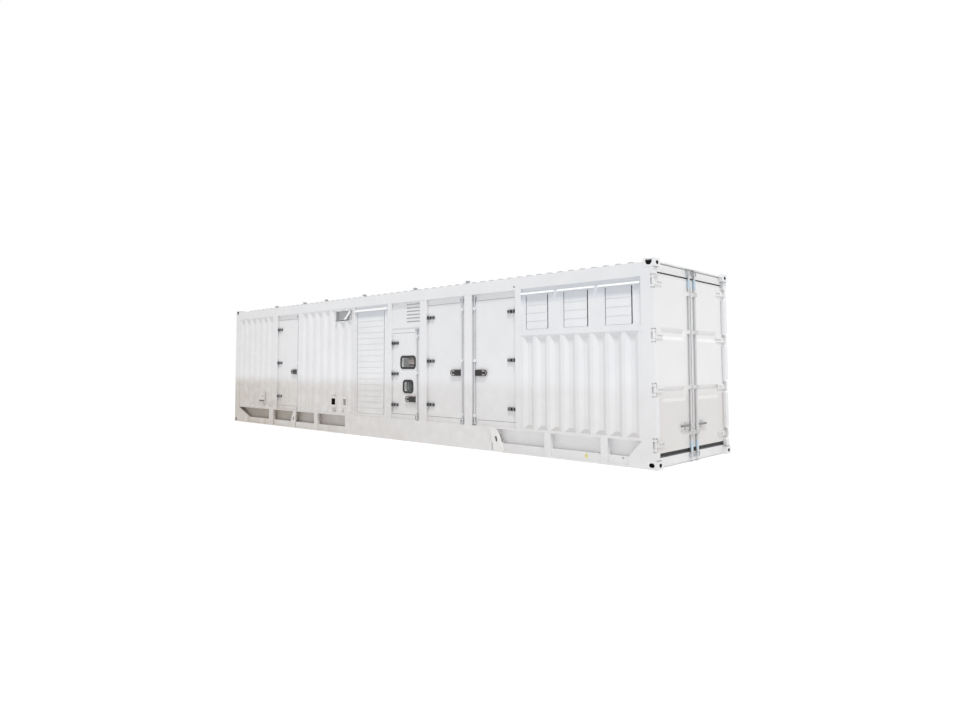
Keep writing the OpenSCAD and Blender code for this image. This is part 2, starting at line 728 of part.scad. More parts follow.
// pressed recess with sloping sides
module pressed(y, z) {
  d = 24;
  c = 50;
  intersection() {
    rotate([90, 0, 0]) translate([0, 0, -y[1]]) linear_extrude(y[1] - y[0])
      polygon([[leaf_in - e, z[0]], [leaf_in - e, z[1]], [leaf_in + d, z[1] - c], [leaf_in + d, z[0] + c]]);
    translate([0, 0, z[0]]) linear_extrude(z[1] - z[0])
      polygon([[leaf_in - e, y[0]], [leaf_in - e, y[1]], [leaf_in + d, y[1] - c], [leaf_in + d, y[0] + c]]);
  }
}
catch_y = 262;                      // handle catch, out from the centre line
module end_leaf() {
  difference() {
    box([leaf_in, leaf_in + leaf_t], [leaf_y0, leaf_y1], [leaf_z, leaf_top]);
    pressed([200, 935], [leaf_top - 928, leaf_top - 751]);
    pressed([200, 935], [leaf_z + 697, leaf_z + 917]);
  }
  for (z = [leaf_z + 217, leaf_z + 889, leaf_top - 795, leaf_top - 226]) difference() {
    box([erod_d - end_rod_r - 5, leaf_in], [end_rod_y - 30, end_rod_y + 30], [z - 28, z + 28]);
    rod(erod_d, end_rod_y, [z - 29, z + 29], end_rod_r + fit);
  }
  box([leaf_in - 9, leaf_in], [catch_y - 16, catch_y + 16], [handle_z - 60, handle_z + 60]);
}
module end_strap(z) {
  difference() {
    union() {
      rod(ehinge_d, ehinge_y, [z - 40, z + 40], end_knuckle_r);
      box([leaf_in - 12, leaf_in], [leaf_y1 - 190, ehinge_y], [z - 40, z + 40]);
      box([ehinge_d, leaf_in], [ehinge_y - 14, ehinge_y], [z - 40, z + 40]);
    }
    rod(ehinge_d, ehinge_y, [z - 41, z + 41], 10 + fit);
  }
}
module end_hinge_fixed(z) {
  for (s = [-1, 1]) translate([0, 0, s * 64]) {
    rod(ehinge_d, ehinge_y, [z - 18, z + 18], end_knuckle_r);
    box([ehinge_d, leaf_in + 5], [ehinge_y - 14, ehinge_y + 12], [z - 18, z + 18]);
  }
  rod(ehinge_d, ehinge_y, [z - 80, z + 80], 10);
}
module end_hinges() {
  color("white") for (s = [-1, 1]) end_side(s) for (z = ehinge_zs) end_hinge_fixed(z);
}
module end_gasket() {
  difference() {
    box([leaf_in + 6, leaf_in + 40], [leaf_y0 - lip, leaf_y1 + lip], [leaf_z - low_lip, leaf_top + lip]);
    box([leaf_in, leaf_in + 60], [leaf_y0, leaf_y1], [leaf_z, leaf_top]);
  }
}
handle_z = leaf_z + 330;
module end_rod() {
  z0 = sill_z - 95;
  z1 = leaf_top + 120;
  rod(erod_d, end_rod_y, [z0, z1], end_rod_r);
  for (z = [[z0, sill_z - 40], [sill_z - 20, sill_z + 175], [leaf_top - 144, leaf_top - 6], [leaf_top + 60, z1]])
    rod(erod_d, end_rod_y, z, end_rod_r + boss);
  rod(erod_d, end_rod_y, [handle_z - 30, handle_z + 30], end_rod_r + boss);
  box([erod_d - 12, erod_d + 4], [end_rod_y, end_rod_y + 317], [handle_z - 14, handle_z + 14]);
}
module end_door_left() { color("white") end_side(-1) end_leaf(); }
module end_left_straps() { color("white") end_side(-1) for (z = ehinge_zs) end_strap(z); }
module end_left_gasket() { color("black") end_side(-1) end_gasket(); }
module end_left_rod() { color("silver") end_side(-1) end_rod(); }
module end_door_right() { color("white") end_side(1) end_leaf(); }
module end_right_straps() { color("white") end_side(1) for (z = ehinge_zs) end_strap(z); }
module end_right_gasket() { color("black") end_side(1) end_gasket(); }
module end_right_rod() { color("silver") end_side(1) end_rod(); }

bottom_castings();
top_castings();
corner_posts();
top_side_rails();
door_header();
door_sill();
far_end_rails();
base_side_front();
base_side_back();
base_tank();
floor_beams();
floor_deck();
lifting_lugs();
front_posts();
front_panels();
door_surrounds();
control_vent_panel();
tall_louvre();
high_louvres();
rain_hoods();
vent_scoop();
pocket_boxes();
service_box();
back_posts();
back_panels();
back_louvres();
far_end_panel();
roof_panel();
roof_caps();
side_hinges();
end_hinges();
lock_keepers();
control_cabinet();
man_door();
man_door_straps();
man_door_rod();
control_door();
control_door_straps();
control_windows();
control_gaskets();
control_door_rod();
access_door_left();
access_left_straps();
access_left_rod();
access_door_right();
access_right_straps();
access_right_rod();
end_door_left();
end_left_straps();
end_left_gasket();
end_left_rod();
end_door_right();
end_right_straps();
end_right_gasket();
end_right_rod();
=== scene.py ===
import bmesh, bpy, math
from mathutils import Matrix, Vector


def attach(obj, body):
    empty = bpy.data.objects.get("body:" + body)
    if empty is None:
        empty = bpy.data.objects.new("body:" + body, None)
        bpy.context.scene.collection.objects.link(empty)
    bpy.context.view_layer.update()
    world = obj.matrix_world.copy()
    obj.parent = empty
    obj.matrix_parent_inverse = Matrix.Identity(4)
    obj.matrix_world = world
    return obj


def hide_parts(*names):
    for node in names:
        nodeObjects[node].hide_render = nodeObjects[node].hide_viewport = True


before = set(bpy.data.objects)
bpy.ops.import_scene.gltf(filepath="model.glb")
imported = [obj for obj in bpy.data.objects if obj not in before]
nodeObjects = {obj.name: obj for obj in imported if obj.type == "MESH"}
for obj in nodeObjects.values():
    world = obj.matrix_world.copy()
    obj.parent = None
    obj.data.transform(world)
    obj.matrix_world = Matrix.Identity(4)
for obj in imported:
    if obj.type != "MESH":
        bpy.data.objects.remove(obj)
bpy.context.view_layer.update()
print("frame loaded")

halfLength = 6.096
fullLength = 12192
sideFace = 1.216  # face of posts and rails


def sidePoint(u, y, z, back=False):
    # u from the far end, y inwards from the post face, all in millimetres
    v = (sideFace - y / 1000) * (1 if back else -1)
    return (u / 1000 - halfLength, v, z / 1000)


def addNode(tree, kind, place=None, **values):
    node = tree.nodes.new(kind)
    for key, value in values.items():
        if key in node.inputs:
            node.inputs[key].default_value = value
        else:
            setattr(node, key, value)
    if place:
        node.location = place
    return node


def join(tree, source, target):
    tree.links.new(source, target)


def startMaterial(name):
    mat = bpy.data.materials.new(name)
    mat.use_nodes = True
    tree = mat.node_tree
    tree.nodes.clear()
    out = addNode(tree, "ShaderNodeOutputMaterial", (900, 0))
    shader = addNode(tree, "ShaderNodeBsdfPrincipled", (600, 0))
    join(tree, shader.outputs[0], out.inputs[0])
    coords = addNode(tree, "ShaderNodeTexCoord", (-1200, 0))
    return mat, tree, shader, coords.outputs["Object"]


def math2(tree, operation, a, b=0.0, clamp=False):
    node = addNode(tree, "ShaderNodeMath", operation=operation, use_clamp=clamp)
    for i, value in enumerate((a, b)):
        if isinstance(value, (int, float)):
            node.inputs[i].default_value = value
        else:
            join(tree, value, node.inputs[i])
    return node.outputs[0]


def blendColour(tree, factor, a, b, kind="MIX"):
    node = addNode(tree, "ShaderNodeMix", data_type="RGBA", blend_type=kind)
    for socket, value in ((node.inputs["Factor"], factor), (node.inputs[6], a), (node.inputs[7], b)):
        if isinstance(value, (int, float)):
            socket.default_value = value
        elif isinstance(value, tuple):
            socket.default_value = (*value, 1) if len(value) == 3 else value
        else:
            join(tree, value, socket)
    return node.outputs[2]


def noise(tree, coords, scale, detail=3.0, stretch=(1, 1, 1), rough=0.55):
    mapping = addNode(tree, "ShaderNodeMapping")
    mapping.inputs["Scale"].default_value = stretch
    join(tree, coords, mapping.inputs["Vector"])
    node = addNode(tree, "ShaderNodeTexNoise", Scale=scale, Detail=detail, Roughness=rough)
    join(tree, mapping.outputs[0], node.inputs["Vector"])
    return node.outputs["Fac"]


def spread(tree, value, low, high, toLow=0.0, toHigh=1.0, kind="LINEAR"):
    node = addNode(tree, "ShaderNodeMapRange", interpolation_type=kind)
    for i, number in ((1, low), (2, high), (3, toLow), (4, toHigh)):
        node.inputs[i].default_value = number
    join(tree, value, node.inputs[0])
    return node.outputs[0]


def addBump(tree, shader, height, strength, distance):
    node = addNode(tree, "ShaderNodeBump", Strength=strength, Distance=distance)
    join(tree, height, node.inputs["Height"])
    join(tree, node.outputs[0], shader.inputs["Normal"])


def axisOf(tree, coords):
    node = addNode(tree, "ShaderNodeSeparateXYZ")
    join(tree, coords, node.inputs[0])
    return node.outputs


def lengthOf(tree, vector):
    node = addNode(tree, "ShaderNodeVectorMath", operation="LENGTH")
    join(tree, vector, node.inputs[0])
    return node.outputs["Value"]


def insideBox(tree, coords, low, high):
    # 1 within the box from low to high, 0 outside it
    middle = [(a + b) / 2 for a, b in zip(low, high)]
    half = [(b - a) / 2 for a, b in zip(low, high)]
    shift = addNode(tree, "ShaderNodeVectorMath", operation="SUBTRACT")
    shift.inputs[1].default_value = middle
    join(tree, coords, shift.inputs[0])
    size = addNode(tree, "ShaderNodeVectorMath", operation="ABSOLUTE")
    join(tree, shift.outputs[0], size.inputs[0])
    parts = axisOf(tree, size.outputs[0])
    within = [math2(tree, "LESS_THAN", parts[i], half[i]) for i in range(3)]
    return math2(tree, "MULTIPLY", math2(tree, "MULTIPLY", within[0], within[1]), within[2])


def sideBox(tree, coords, u, y, z):
    # the same, with millimetres from the far end and inwards from the side face
    low, high = sidePoint(u[0], y[1], z[0]), sidePoint(u[1], y[0], z[1])
    return insideBox(tree, coords, [min(a, b) for a, b in zip(low, high)], [max(a, b) for a, b in zip(low, high)])


paintSettings = {
    "colour": (0.795, 0.800, 0.818),
    "mottle": (0.755, 0.762, 0.780),
    "lowFarDarkening": (0.50, 0.46, 0.415),
    "bayShadeAndDirt": (0.33, 0.29, 0.25),
    "warmTint": (0.80, 0.77, 0.73),
    "streak": (0.70, 0.69, 0.67),
    "lining": (0.62, 0.62, 0.60),
    "roomReach": (5.998, 1.118),
    "roomHeight": (0.489, 2.791),
    "lowDarkeningStep": (1.25, 0.95),
    "roughness": (0.34, 0.50),
}
# painted light: a lighter copy of the housing paint, so the door header, the rain hoods and the scoop's cheek look
# brightly lit
paintedLightWhite = dict(paintSettings, colour=(0.93, 0.93, 0.93), mottle=(0.90, 0.90, 0.90))


def whitePaint(name, settings=paintSettings, lined=True, warm=0.0, extra=None):
    # semi-gloss housing paint, cloudy and streaked, darker and browner low down and towards the far end
    mat, tree, shader, coords = startMaterial(name)
    axes = axisOf(tree, coords)
    cloud = noise(tree, coords, 1.7, 4)
    colour = blendColour(tree, spread(tree, cloud, 0.35, 0.7), settings["colour"], settings["mottle"])
    streak = noise(tree, coords, 9.0, 4, (1, 1, 0.07))
    colour = blendColour(tree, spread(tree, streak, 0.60, 0.82, 0, 0.20), colour, settings["streak"])
    far = spread(tree, axes[0], 5.8, -6.1, 0, 1)
    patchy = spread(tree, noise(tree, coords, 5.0, 5), 0.32, 0.72, 0.75, 1.2)
    # a soft step at chest height, then slowly more towards the ground
    step = spread(tree, axes[2], *settings["lowDarkeningStep"], 0.0, 1.0, "SMOOTHSTEP")
    low = math2(tree, "MULTIPLY", step, spread(tree, far, 0, 1, 0.14, 0.62))
    foot = math2(tree, "MULTIPLY", spread(tree, axes[2], 0.9, 0.1, 0, 0.12), spread(tree, far, 0, 1, 0.7, 1.4))
    upper = math2(tree, "ADD", math2(tree, "MULTIPLY", far, 0.13), spread(tree, far, 0.72, 1.0, 0, 0.16))
    lowFarDarkening = math2(tree, "MULTIPLY", math2(tree, "ADD", math2(tree, "ADD", low, foot), upper), patchy, clamp=True)
    colour = blendColour(tree, lowFarDarkening, colour, settings["lowFarDarkening"])
    if warm:
        colour = blendColour(tree, warm, colour, settings["warmTint"])
    if lined:
        # faces that look into the room wear the lining's grey
        (reachX, reachY), (floorZ, roofZ) = settings["roomReach"], settings["roomHeight"]
        room = insideBox(tree, coords, (-reachX, -reachY, floorZ), (reachX, reachY, roofZ))
        colour = blendColour(tree, room, colour, settings["lining"])
    if extra:
        colour = extra(tree, coords, colour)
    join(tree, colour, shader.inputs["Base Color"])
    fine = noise(tree, coords, 3.2, 3)
    join(tree, spread(tree, fine, 0.3, 0.7, *settings["roughness"]), shader.inputs["Roughness"])
    addBump(tree, shader, noise(tree, coords, 160, 2), 0.10, 0.0006)
    return mat


bayShades = {
    # near bays: painted light lifting their recesses; far bays: painted shade with grime
    "nearPaintedLight": (0.93, 0.93, 0.94), "nearShare": 0.45, "nearFrom": 2.9,
    "farSpan": (1.0, -5.2), "depth": (0.03, 0.09),
    "ring": (0.72, 0.62, 0.16), "ringPlace": (11.034 - halfLength, 0.091), "ringRadius": 0.034, "ringShare": 0.75,
}


def bayShadeAndDirt(tree, coords, colour):
    # painted shade and grime deep in the bays of the base, darkest at the far end; painted light on the recesses of
    # the near bays; a yellow ring round the earth terminal
    g = bayShades
    axes = axisOf(tree, coords)
    deep = spread(tree, math2(tree, "ABSOLUTE", axes[1]), sideFace - g["depth"][0], sideFace - g["depth"][1])
    far = spread(tree, axes[0], *g["farSpan"])
    nearPaintedLight = math2(tree, "MULTIPLY", math2(tree, "GREATER_THAN", axes[0], g["nearFrom"]), g["nearShare"])
    colour = blendColour(tree, math2(tree, "MULTIPLY", deep, nearPaintedLight, clamp=True), colour, g["nearPaintedLight"])
    colour = blendColour(tree, math2(tree, "MULTIPLY", deep, far, clamp=True), colour, paintSettings["bayShadeAndDirt"])
    reach = addNode(tree, "ShaderNodeCombineXYZ")
    join(tree, math2(tree, "SUBTRACT", axes[0], g["ringPlace"][0]), reach.inputs[0])
    join(tree, math2(tree, "SUBTRACT", axes[2], g["ringPlace"][1]), reach.inputs[1])
    ring = math2(tree, "LESS_THAN", lengthOf(tree, reach.outputs[0]), g["ringRadius"])
    return blendColour(tree, math2(tree, "MULTIPLY", ring, g["ringShare"]), colour, g["ring"])


socketSettings = {"low": (5.935, 1.075, 0.017), "high": (6.093, 1.216, 2.879), "tone": (0.030, 0.030, 0.032)}


def socketPaintedShade(tree, coords, colour):
    # painted shade: the insides of the corner castings are painted near-black
    axes = axisOf(tree, coords)
    folded = addNode(tree, "ShaderNodeCombineXYZ")
    join(tree, math2(tree, "ABSOLUTE", axes[0]), folded.inputs[0])
    join(tree, math2(tree, "ABSOLUTE", axes[1]), folded.inputs[1])
    join(tree, axes[2], folded.inputs[2])
    inner = insideBox(tree, folded.outputs[0], socketSettings["low"], socketSettings["high"])
    return blendColour(tree, inner, colour, socketSettings["tone"])


sideMarks = {
    # u from the far end, y inwards, height, colour
    "pockets": [((4478, 4624), (1, 70), (588, 740), (0.010, 0.010, 0.009)),  # black inside: painted shade in the pocket
                ((4898, 5014), (1, 70), (588, 740), (0.62, 0.61, 0.60))],  # grey inside: painted shade in the pocket
    # painted shade inside the vent scoop
    "scoop": [((4596, 5144), (5, 62), (2404, 2616), (0.44, 0.45, 0.46))],
    "serviceBox": [((1296, 1552), (-5, 0), (560, 598), (0.10, 0.095, 0.09)),  # painted shade standing for a cable slot
                   ((1452, 1490), (-5, 0), (676, 712), (0.12, 0.11, 0.10))],  # painted shade standing for a lock hole
    "ledge": [((9667, 9691), (-5, 2), (2692, 2720), (0.05, 0.05, 0.05))],  # painted shade standing for a fixing hole
    # the cabinet's face behind the two control windows
    "cabinet": [((6534, 6784), (180, 230), (1300, 1700), (0.97, 0.96, 0.96)),
                ((6784, 7044), (180, 230), (1300, 1700), (0.97, 0.80, 0.77)),
                ((6792, 7044), (180, 230), (1546, 1588), (0.30, 0.20, 0.20)),
                ((6796, 7044), (180, 230), (1506, 1528), (0.40, 0.28, 0.27)),
                ((6792, 7044), (180, 230), (1424, 1459), (0.020, 0.016, 0.016)),
                ((6614, 6840), (180, 230), (860, 1180), (0.62, 0.70, 0.67)),
                ((6799, 6829), (180, 230), (860, 1180), (0.85, 0.92, 0.90)),
                ((6840, 6954), (180, 230), (950, 1180), (0.012, 0.020, 0.018))],
}


def marked(marks):
    def paint(tree, coords, colour):
        for u, y, z, tone in marks:
            colour = blendColour(tree, sideBox(tree, coords, u, y, z), colour, tone)
        return colour
    return paint


foldSettings = {"foot": (0.50, 0.49, 0.48), "footBelow": 0.7, "head": (0.58, 0.60, 0.62), "headAbove": 1.5,
                "headShare": 0.5, "slope": 0.2}


def foldShade(tree, coords, colour):
    # painted shade on the tapered ends of the corrugations, darker where they look up at the foot and where they look
    # down at the head
    facing = addNode(tree, "ShaderNodeNewGeometry")
    up = axisOf(tree, facing.outputs["True Normal"])[2]
    height = axisOf(tree, coords)[2]
    g = foldSettings
    foot = math2(tree, "MULTIPLY", math2(tree, "GREATER_THAN", up, g["slope"]),
                 math2(tree, "LESS_THAN", height, g["footBelow"]))
    head = math2(tree, "MULTIPLY", math2(tree, "LESS_THAN", up, -g["slope"]),
                 math2(tree, "GREATER_THAN", height, g["headAbove"]))
    colour = blendColour(tree, foot, colour, g["foot"])
    return blendColour(tree, math2(tree, "MULTIPLY", head, g["headShare"]), colour, g["head"])


def boxed(low, high, tone):
    # a plain tone within one box
    def paint(tree, coords, colour):
        return blendColour(tree, insideBox(tree, coords, low, high), colour, tone)
    return paint


sealSettings = {"tone": (0.03, 0.03, 0.032), "sideTone": (0.42, 0.42, 0.42), "edgeTone": (0.02, 0.02, 0.021),
                "depth": (42, 96), "foot": 500, "line": 0.6}


def leafSealAndGapShade(u, top):
    # seal black and painted shade in the gap round the rim of a side leaf: grey at the sides, black over and under it
    depth, foot, line = sealSettings["depth"], sealSettings["foot"], sealSettings["line"]
    edges = [(span, depth, (foot - 10, top + 10), sealSettings["sideTone"])
             for span in ((u[0] - 2, u[0] + line), (u[1] - line, u[1] + 2))]
    edges += [((u[0] - 5, u[1] + 5), depth, span, sealSettings["edgeTone"])
              for span in ((foot - 2, foot + line), (top - line, top + 2))]
    return marked(edges)


endLeafSettings = {"dull": (0.50, 0.47, 0.44), "dullShare": 0.33, "dullSpan": (1.20, 0.85),
                   "rim": (1.094, 1.125), "rimFront": 6.030}


def endLeafShade(tree, coords, colour):
    # darker below a metre; a black band round the rim of each end leaf, painted shade in the gap by the seal
    g = endLeafSettings
    axes = axisOf(tree, coords)
    low = spread(tree, axes[2], *g["dullSpan"], 0.0, g["dullShare"], "SMOOTHSTEP")
    colour = blendColour(tree, low, colour, g["dull"])
    side = math2(tree, "ABSOLUTE", axes[1])
    rim = math2(tree, "GREATER_THAN", side, g["rim"][0])
    rim = math2(tree, "MULTIPLY", rim, math2(tree, "LESS_THAN", side, g["rim"][1]))
    rim = math2(tree, "MULTIPLY", rim, math2(tree, "LESS_THAN", axes[0], g["rimFront"]))
    return blendColour(tree, rim, colour, sealSettings["tone"])


hoodShade = {"tone": (0.60, 0.645, 0.70), "share": 0.55, "span": (2.38, 2.44)}


def underHood(tree, coords, colour):
    # bluish shade on the blades under the rain hoods
    height = axisOf(tree, coords)[2]
    shade = spread(tree, height, *hoodShade["span"], 0.0, hoodShade["share"], "SMOOTHSTEP")
    return blendColour(tree, shade, colour, hoodShade["tone"])


def blackPaint(name, colour=(0.018, 0.018, 0.020), rough=(0.34, 0.52)):
    mat, tree, shader, coords = startMaterial(name)
    worn = noise(tree, coords, 46, 4)
    tone = blendColour(tree, spread(tree, worn, 0.45, 0.75, 0, 0.5), colour, (0.06, 0.058, 0.055))
    join(tree, tone, shader.inputs["Base Color"])
    join(tree, spread(tree, worn, 0.3, 0.7, *rough), shader.inputs["Roughness"])
    addBump(tree, shader, noise(tree, coords, 420, 2), 0.18, 0.0004)
    return mat


def galvanised(name, colour=(0.52, 0.545, 0.57), tint=(0.40, 0.43, 0.46), scale=26.0, rough=(0.28, 0.46)):
    # zinc spangle: flat cells of slightly different grey
    mat, tree, shader, coords = startMaterial(name)
    cells = addNode(tree, "ShaderNodeTexVoronoi", Scale=scale)
    join(tree, coords, cells.inputs["Vector"])
    tone = addNode(tree, "ShaderNodeSeparateColor")
    join(tree, cells.outputs["Color"], tone.inputs[0])
    colour = blendColour(tree, tone.outputs[0], colour, tint)
    join(tree, colour, shader.inputs["Base Color"])
    shader.inputs["Metallic"].default_value = 0.85
    join(tree, spread(tree, tone.outputs[1], 0, 1, *rough), shader.inputs["Roughness"])
    addBump(tree, shader, noise(tree, coords, 240, 2), 0.10, 0.0005)
    return mat


rodSettings = {
    "steel": (0.66, 0.67, 0.68),
    "shade": (0.50, 0.51, 0.52),
    "lever": (0.010, 0.010, 0.011),
    "crescent": (0.40, 0.38, 0.37),
    "rim": (0.075, 0.055, 0.050),
    "passivated": (0.50, 0.62, 0.70),
    "stemRadius": 0.0185,
    "endRadius": 0.055,  # round end of the lever
    "crescentSpan": (0.022, 0.042), "crescentReach": 0.105, "rimFrom": 0.044,
    "endSteel": (0.66, 0.665, 0.67), "endShade": (0.52, 0.53, 0.54), "grip": (0.20, 0.205, 0.21), "gripFrom": 0.125,
    "endMiddle": 1.4355, "camSpan": (1.135, 1.262),
}


def leverSteel(name, rodX, way, middleZ, length, settings=rodSettings):
    # grey zinc rod; the lever has a dark brown rim, a pale crescent at its round end and a black middle
    mat, tree, shader, coords = startMaterial(name)
    axes = axisOf(tree, coords)
    reach = math2(tree, "ABSOLUTE", math2(tree, "SUBTRACT", axes[0], rodX))
    isLever = math2(tree, "GREATER_THAN", reach, settings["stemRadius"])
    zinc = blendColour(tree, noise(tree, coords, 60, 3), settings["steel"], settings["shade"])
    along = math2(tree, "MULTIPLY", math2(tree, "SUBTRACT", axes[0], rodX), way)
    past = math2(tree, "MAXIMUM", math2(tree, "SUBTRACT", along, length - settings["endRadius"]), 0.0)
    flat = addNode(tree, "ShaderNodeCombineXYZ")
    join(tree, past, flat.inputs[0])
    join(tree, math2(tree, "SUBTRACT", axes[2], middleZ), flat.inputs[1])
    radius = lengthOf(tree, flat.outputs[0])
    ring = math2(tree, "MULTIPLY", math2(tree, "GREATER_THAN", radius, settings["crescentSpan"][0]),
                 math2(tree, "LESS_THAN", radius, settings["crescentSpan"][1]))
    outer = math2(tree, "GREATER_THAN", along, length - settings["crescentReach"])
    tone = blendColour(tree, math2(tree, "MULTIPLY", ring, outer), settings["lever"], settings["crescent"])
    rim = math2(tree, "GREATER_THAN", radius, settings["rimFrom"])
    tone = blendColour(tree, rim, tone, settings["rim"])
    join(tree, blendColour(tree, isLever, zinc, tone), shader.inputs["Base Color"])
    join(tree, math2(tree, "MULTIPLY", math2(tree, "SUBTRACT", 1.0, isLever), 0.3), shader.inputs["Metallic"])
    join(tree, spread(tree, noise(tree, coords, 30, 3), 0.3, 0.7, 0.30, 0.46), shader.inputs["Roughness"])
    addBump(tree, shader, noise(tree, coords, 300, 2), 0.12, 0.0004)
    return mat


def endRodSteel(name, settings=rodSettings):
    # bright rod with bluish passivated cams at its ends
    mat, tree, shader, coords = startMaterial(name)
    axes = axisOf(tree, coords)
    off = math2(tree, "ABSOLUTE", math2(tree, "SUBTRACT", axes[2], settings["endMiddle"]))
    cam = math2(tree, "MULTIPLY", math2(tree, "GREATER_THAN", off, settings["camSpan"][0]),
                math2(tree, "LESS_THAN", off, settings["camSpan"][1]))
    zinc = blendColour(tree, noise(tree, coords, 40, 3), settings["endSteel"], settings["endShade"])
    tone = blendColour(tree, cam, zinc, settings["passivated"])
    grip = math2(tree, "GREATER_THAN", math2(tree, "ABSOLUTE", axes[1]), settings["gripFrom"])
    join(tree, blendColour(tree, grip, tone, settings["grip"]), shader.inputs["Base Color"])
    shader.inputs["Metallic"].default_value = 0.35
    join(tree, spread(tree, noise(tree, coords, 24, 3), 0.3, 0.7, 0.28, 0.44), shader.inputs["Roughness"])
    addBump(tree, shader, noise(tree, coords, 260, 2), 0.12, 0.0004)
    return mat


def rubber(name, colour=(0.014, 0.014, 0.015)):
    mat, tree, shader, coords = startMaterial(name)
    chalk = noise(tree, coords, 30, 4)
    tone = blendColour(tree, spread(tree, chalk, 0.45, 0.8, 0, 0.5), colour, (0.07, 0.07, 0.068))
    join(tree, tone, shader.inputs["Base Color"])
    join(tree, spread(tree, chalk, 0.3, 0.7, 0.5, 0.72), shader.inputs["Roughness"])
    addBump(tree, shader, noise(tree, coords, 500, 2), 0.2, 0.0003)
    return mat


def windowGlass(name):
    mat, tree, shader, coords = startMaterial(name)
    shader.inputs["Base Color"].default_value = (0.72, 0.78, 0.75, 1)
    shader.inputs["Alpha"].default_value = 0.08
    shader.inputs["IOR"].default_value = 1.45
    join(tree, spread(tree, noise(tree, coords, 12, 3), 0.4, 0.8, 0.02, 0.07), shader.inputs["Roughness"])
    return mat


def deckPaint(name):
    # grey anti-slip paint on chequer plate: two crossed sets of short ridges
    mat, tree, shader, coords = startMaterial(name)
    worn = noise(tree, coords, 3.5, 5)
    tone = blendColour(tree, spread(tree, worn, 0.4, 0.7), (0.36, 0.37, 0.38), (0.27, 0.28, 0.29))
    join(tree, tone, shader.inputs["Base Color"])
    join(tree, spread(tree, worn, 0.3, 0.7, 0.55, 0.75), shader.inputs["Roughness"])
    turned = addNode(tree, "ShaderNodeMapping")
    turned.inputs["Rotation"].default_value = (0, 0, math.radians(45))
    turned.inputs["Scale"].default_value = (24, 60, 1)
    join(tree, coords, turned.inputs["Vector"])
    tiles = addNode(tree, "ShaderNodeTexVoronoi", Scale=1.0, Randomness=0.0)
    join(tree, turned.outputs[0], tiles.inputs["Vector"])
    addBump(tree, shader, spread(tree, tiles.outputs["Distance"], 0.30, 0.42, 1, 0), 0.5, 0.002)
    return mat


def plainPaint(name, colour, shade, rough=(0.4, 0.55), extra=None):
    mat, tree, shader, coords = startMaterial(name)
    cloud = noise(tree, coords, 14, 4)
    tone = blendColour(tree, spread(tree, cloud, 0.35, 0.7), colour, shade)
    if extra:
        tone = extra(tree, coords, tone)
    join(tree, tone, shader.inputs["Base Color"])
    join(tree, spread(tree, cloud, 0.3, 0.7, *rough), shader.inputs["Roughness"])
    addBump(tree, shader, noise(tree, coords, 300, 2), 0.15, 0.0004)
    return mat


capSettings = {"stations": (1964, 3232, 4124, 5534, 7142, 8548), "inset": 75, "stem": 16, "hood": 40,
               "base": 2854, "neck": 2886, "top": 2914, "sides": 28, "stemTone": (0.62, 0.63, 0.64),
               "hoodTones": ((0.42, 0.42, 0.43), (0.28, 0.28, 0.29))}


def capSteel(name):
    # vent caps: pale stem, dark weathered hood
    mat, tree, shader, coords = startMaterial(name)
    axes = axisOf(tree, coords)
    hood = math2(tree, "GREATER_THAN", axes[2], capSettings["neck"] / 1000)
    tone = blendColour(tree, noise(tree, coords, 40, 3), *capSettings["hoodTones"])
    join(tree, blendColour(tree, hood, capSettings["stemTone"], tone), shader.inputs["Base Color"])
    shader.inputs["Metallic"].default_value = 0.3
    join(tree, spread(tree, noise(tree, coords, 30, 3), 0.3, 0.7, 0.4, 0.6), shader.inputs["Roughness"])
    return mat


housingPaint = whitePaint("housingPaint")
endPaint = whitePaint("endPaint", lined=False, warm=0.30, extra=endLeafShade)
headerBarShadow = boxed((5.9, -1.3, 2.836), (6.2, 1.3, 2.854), (0.34, 0.35, 0.36))  # painted shadow under the header's top bar
# painted light: the header and the hoods wear the lighter copy of the paint
headerPaint = whitePaint("headerPaint", paintedLightWhite, lined=False, extra=headerBarShadow)
hoodPaint = whitePaint("hoodPaint", paintedLightWhite, lined=False)
bladePaint = whitePaint("bladePaint", dict(paintSettings, colour=(0.80, 0.81, 0.83)), lined=False, extra=underHood)
hingeBlack = blackPaint("hingeBlack")
boltZinc = galvanised("boltZinc", scale=90)
keeperZinc = galvanised("keeperZinc", (0.60, 0.62, 0.64), (0.50, 0.52, 0.55))
sealRubber = rubber("sealRubber")
glass = windowGlass("glass")
deck = deckPaint("deck")
cabinetPaint = plainPaint("cabinetPaint", (0.56, 0.53, 0.51), (0.50, 0.47, 0.455),
                          extra=marked(sideMarks["cabinet"]))

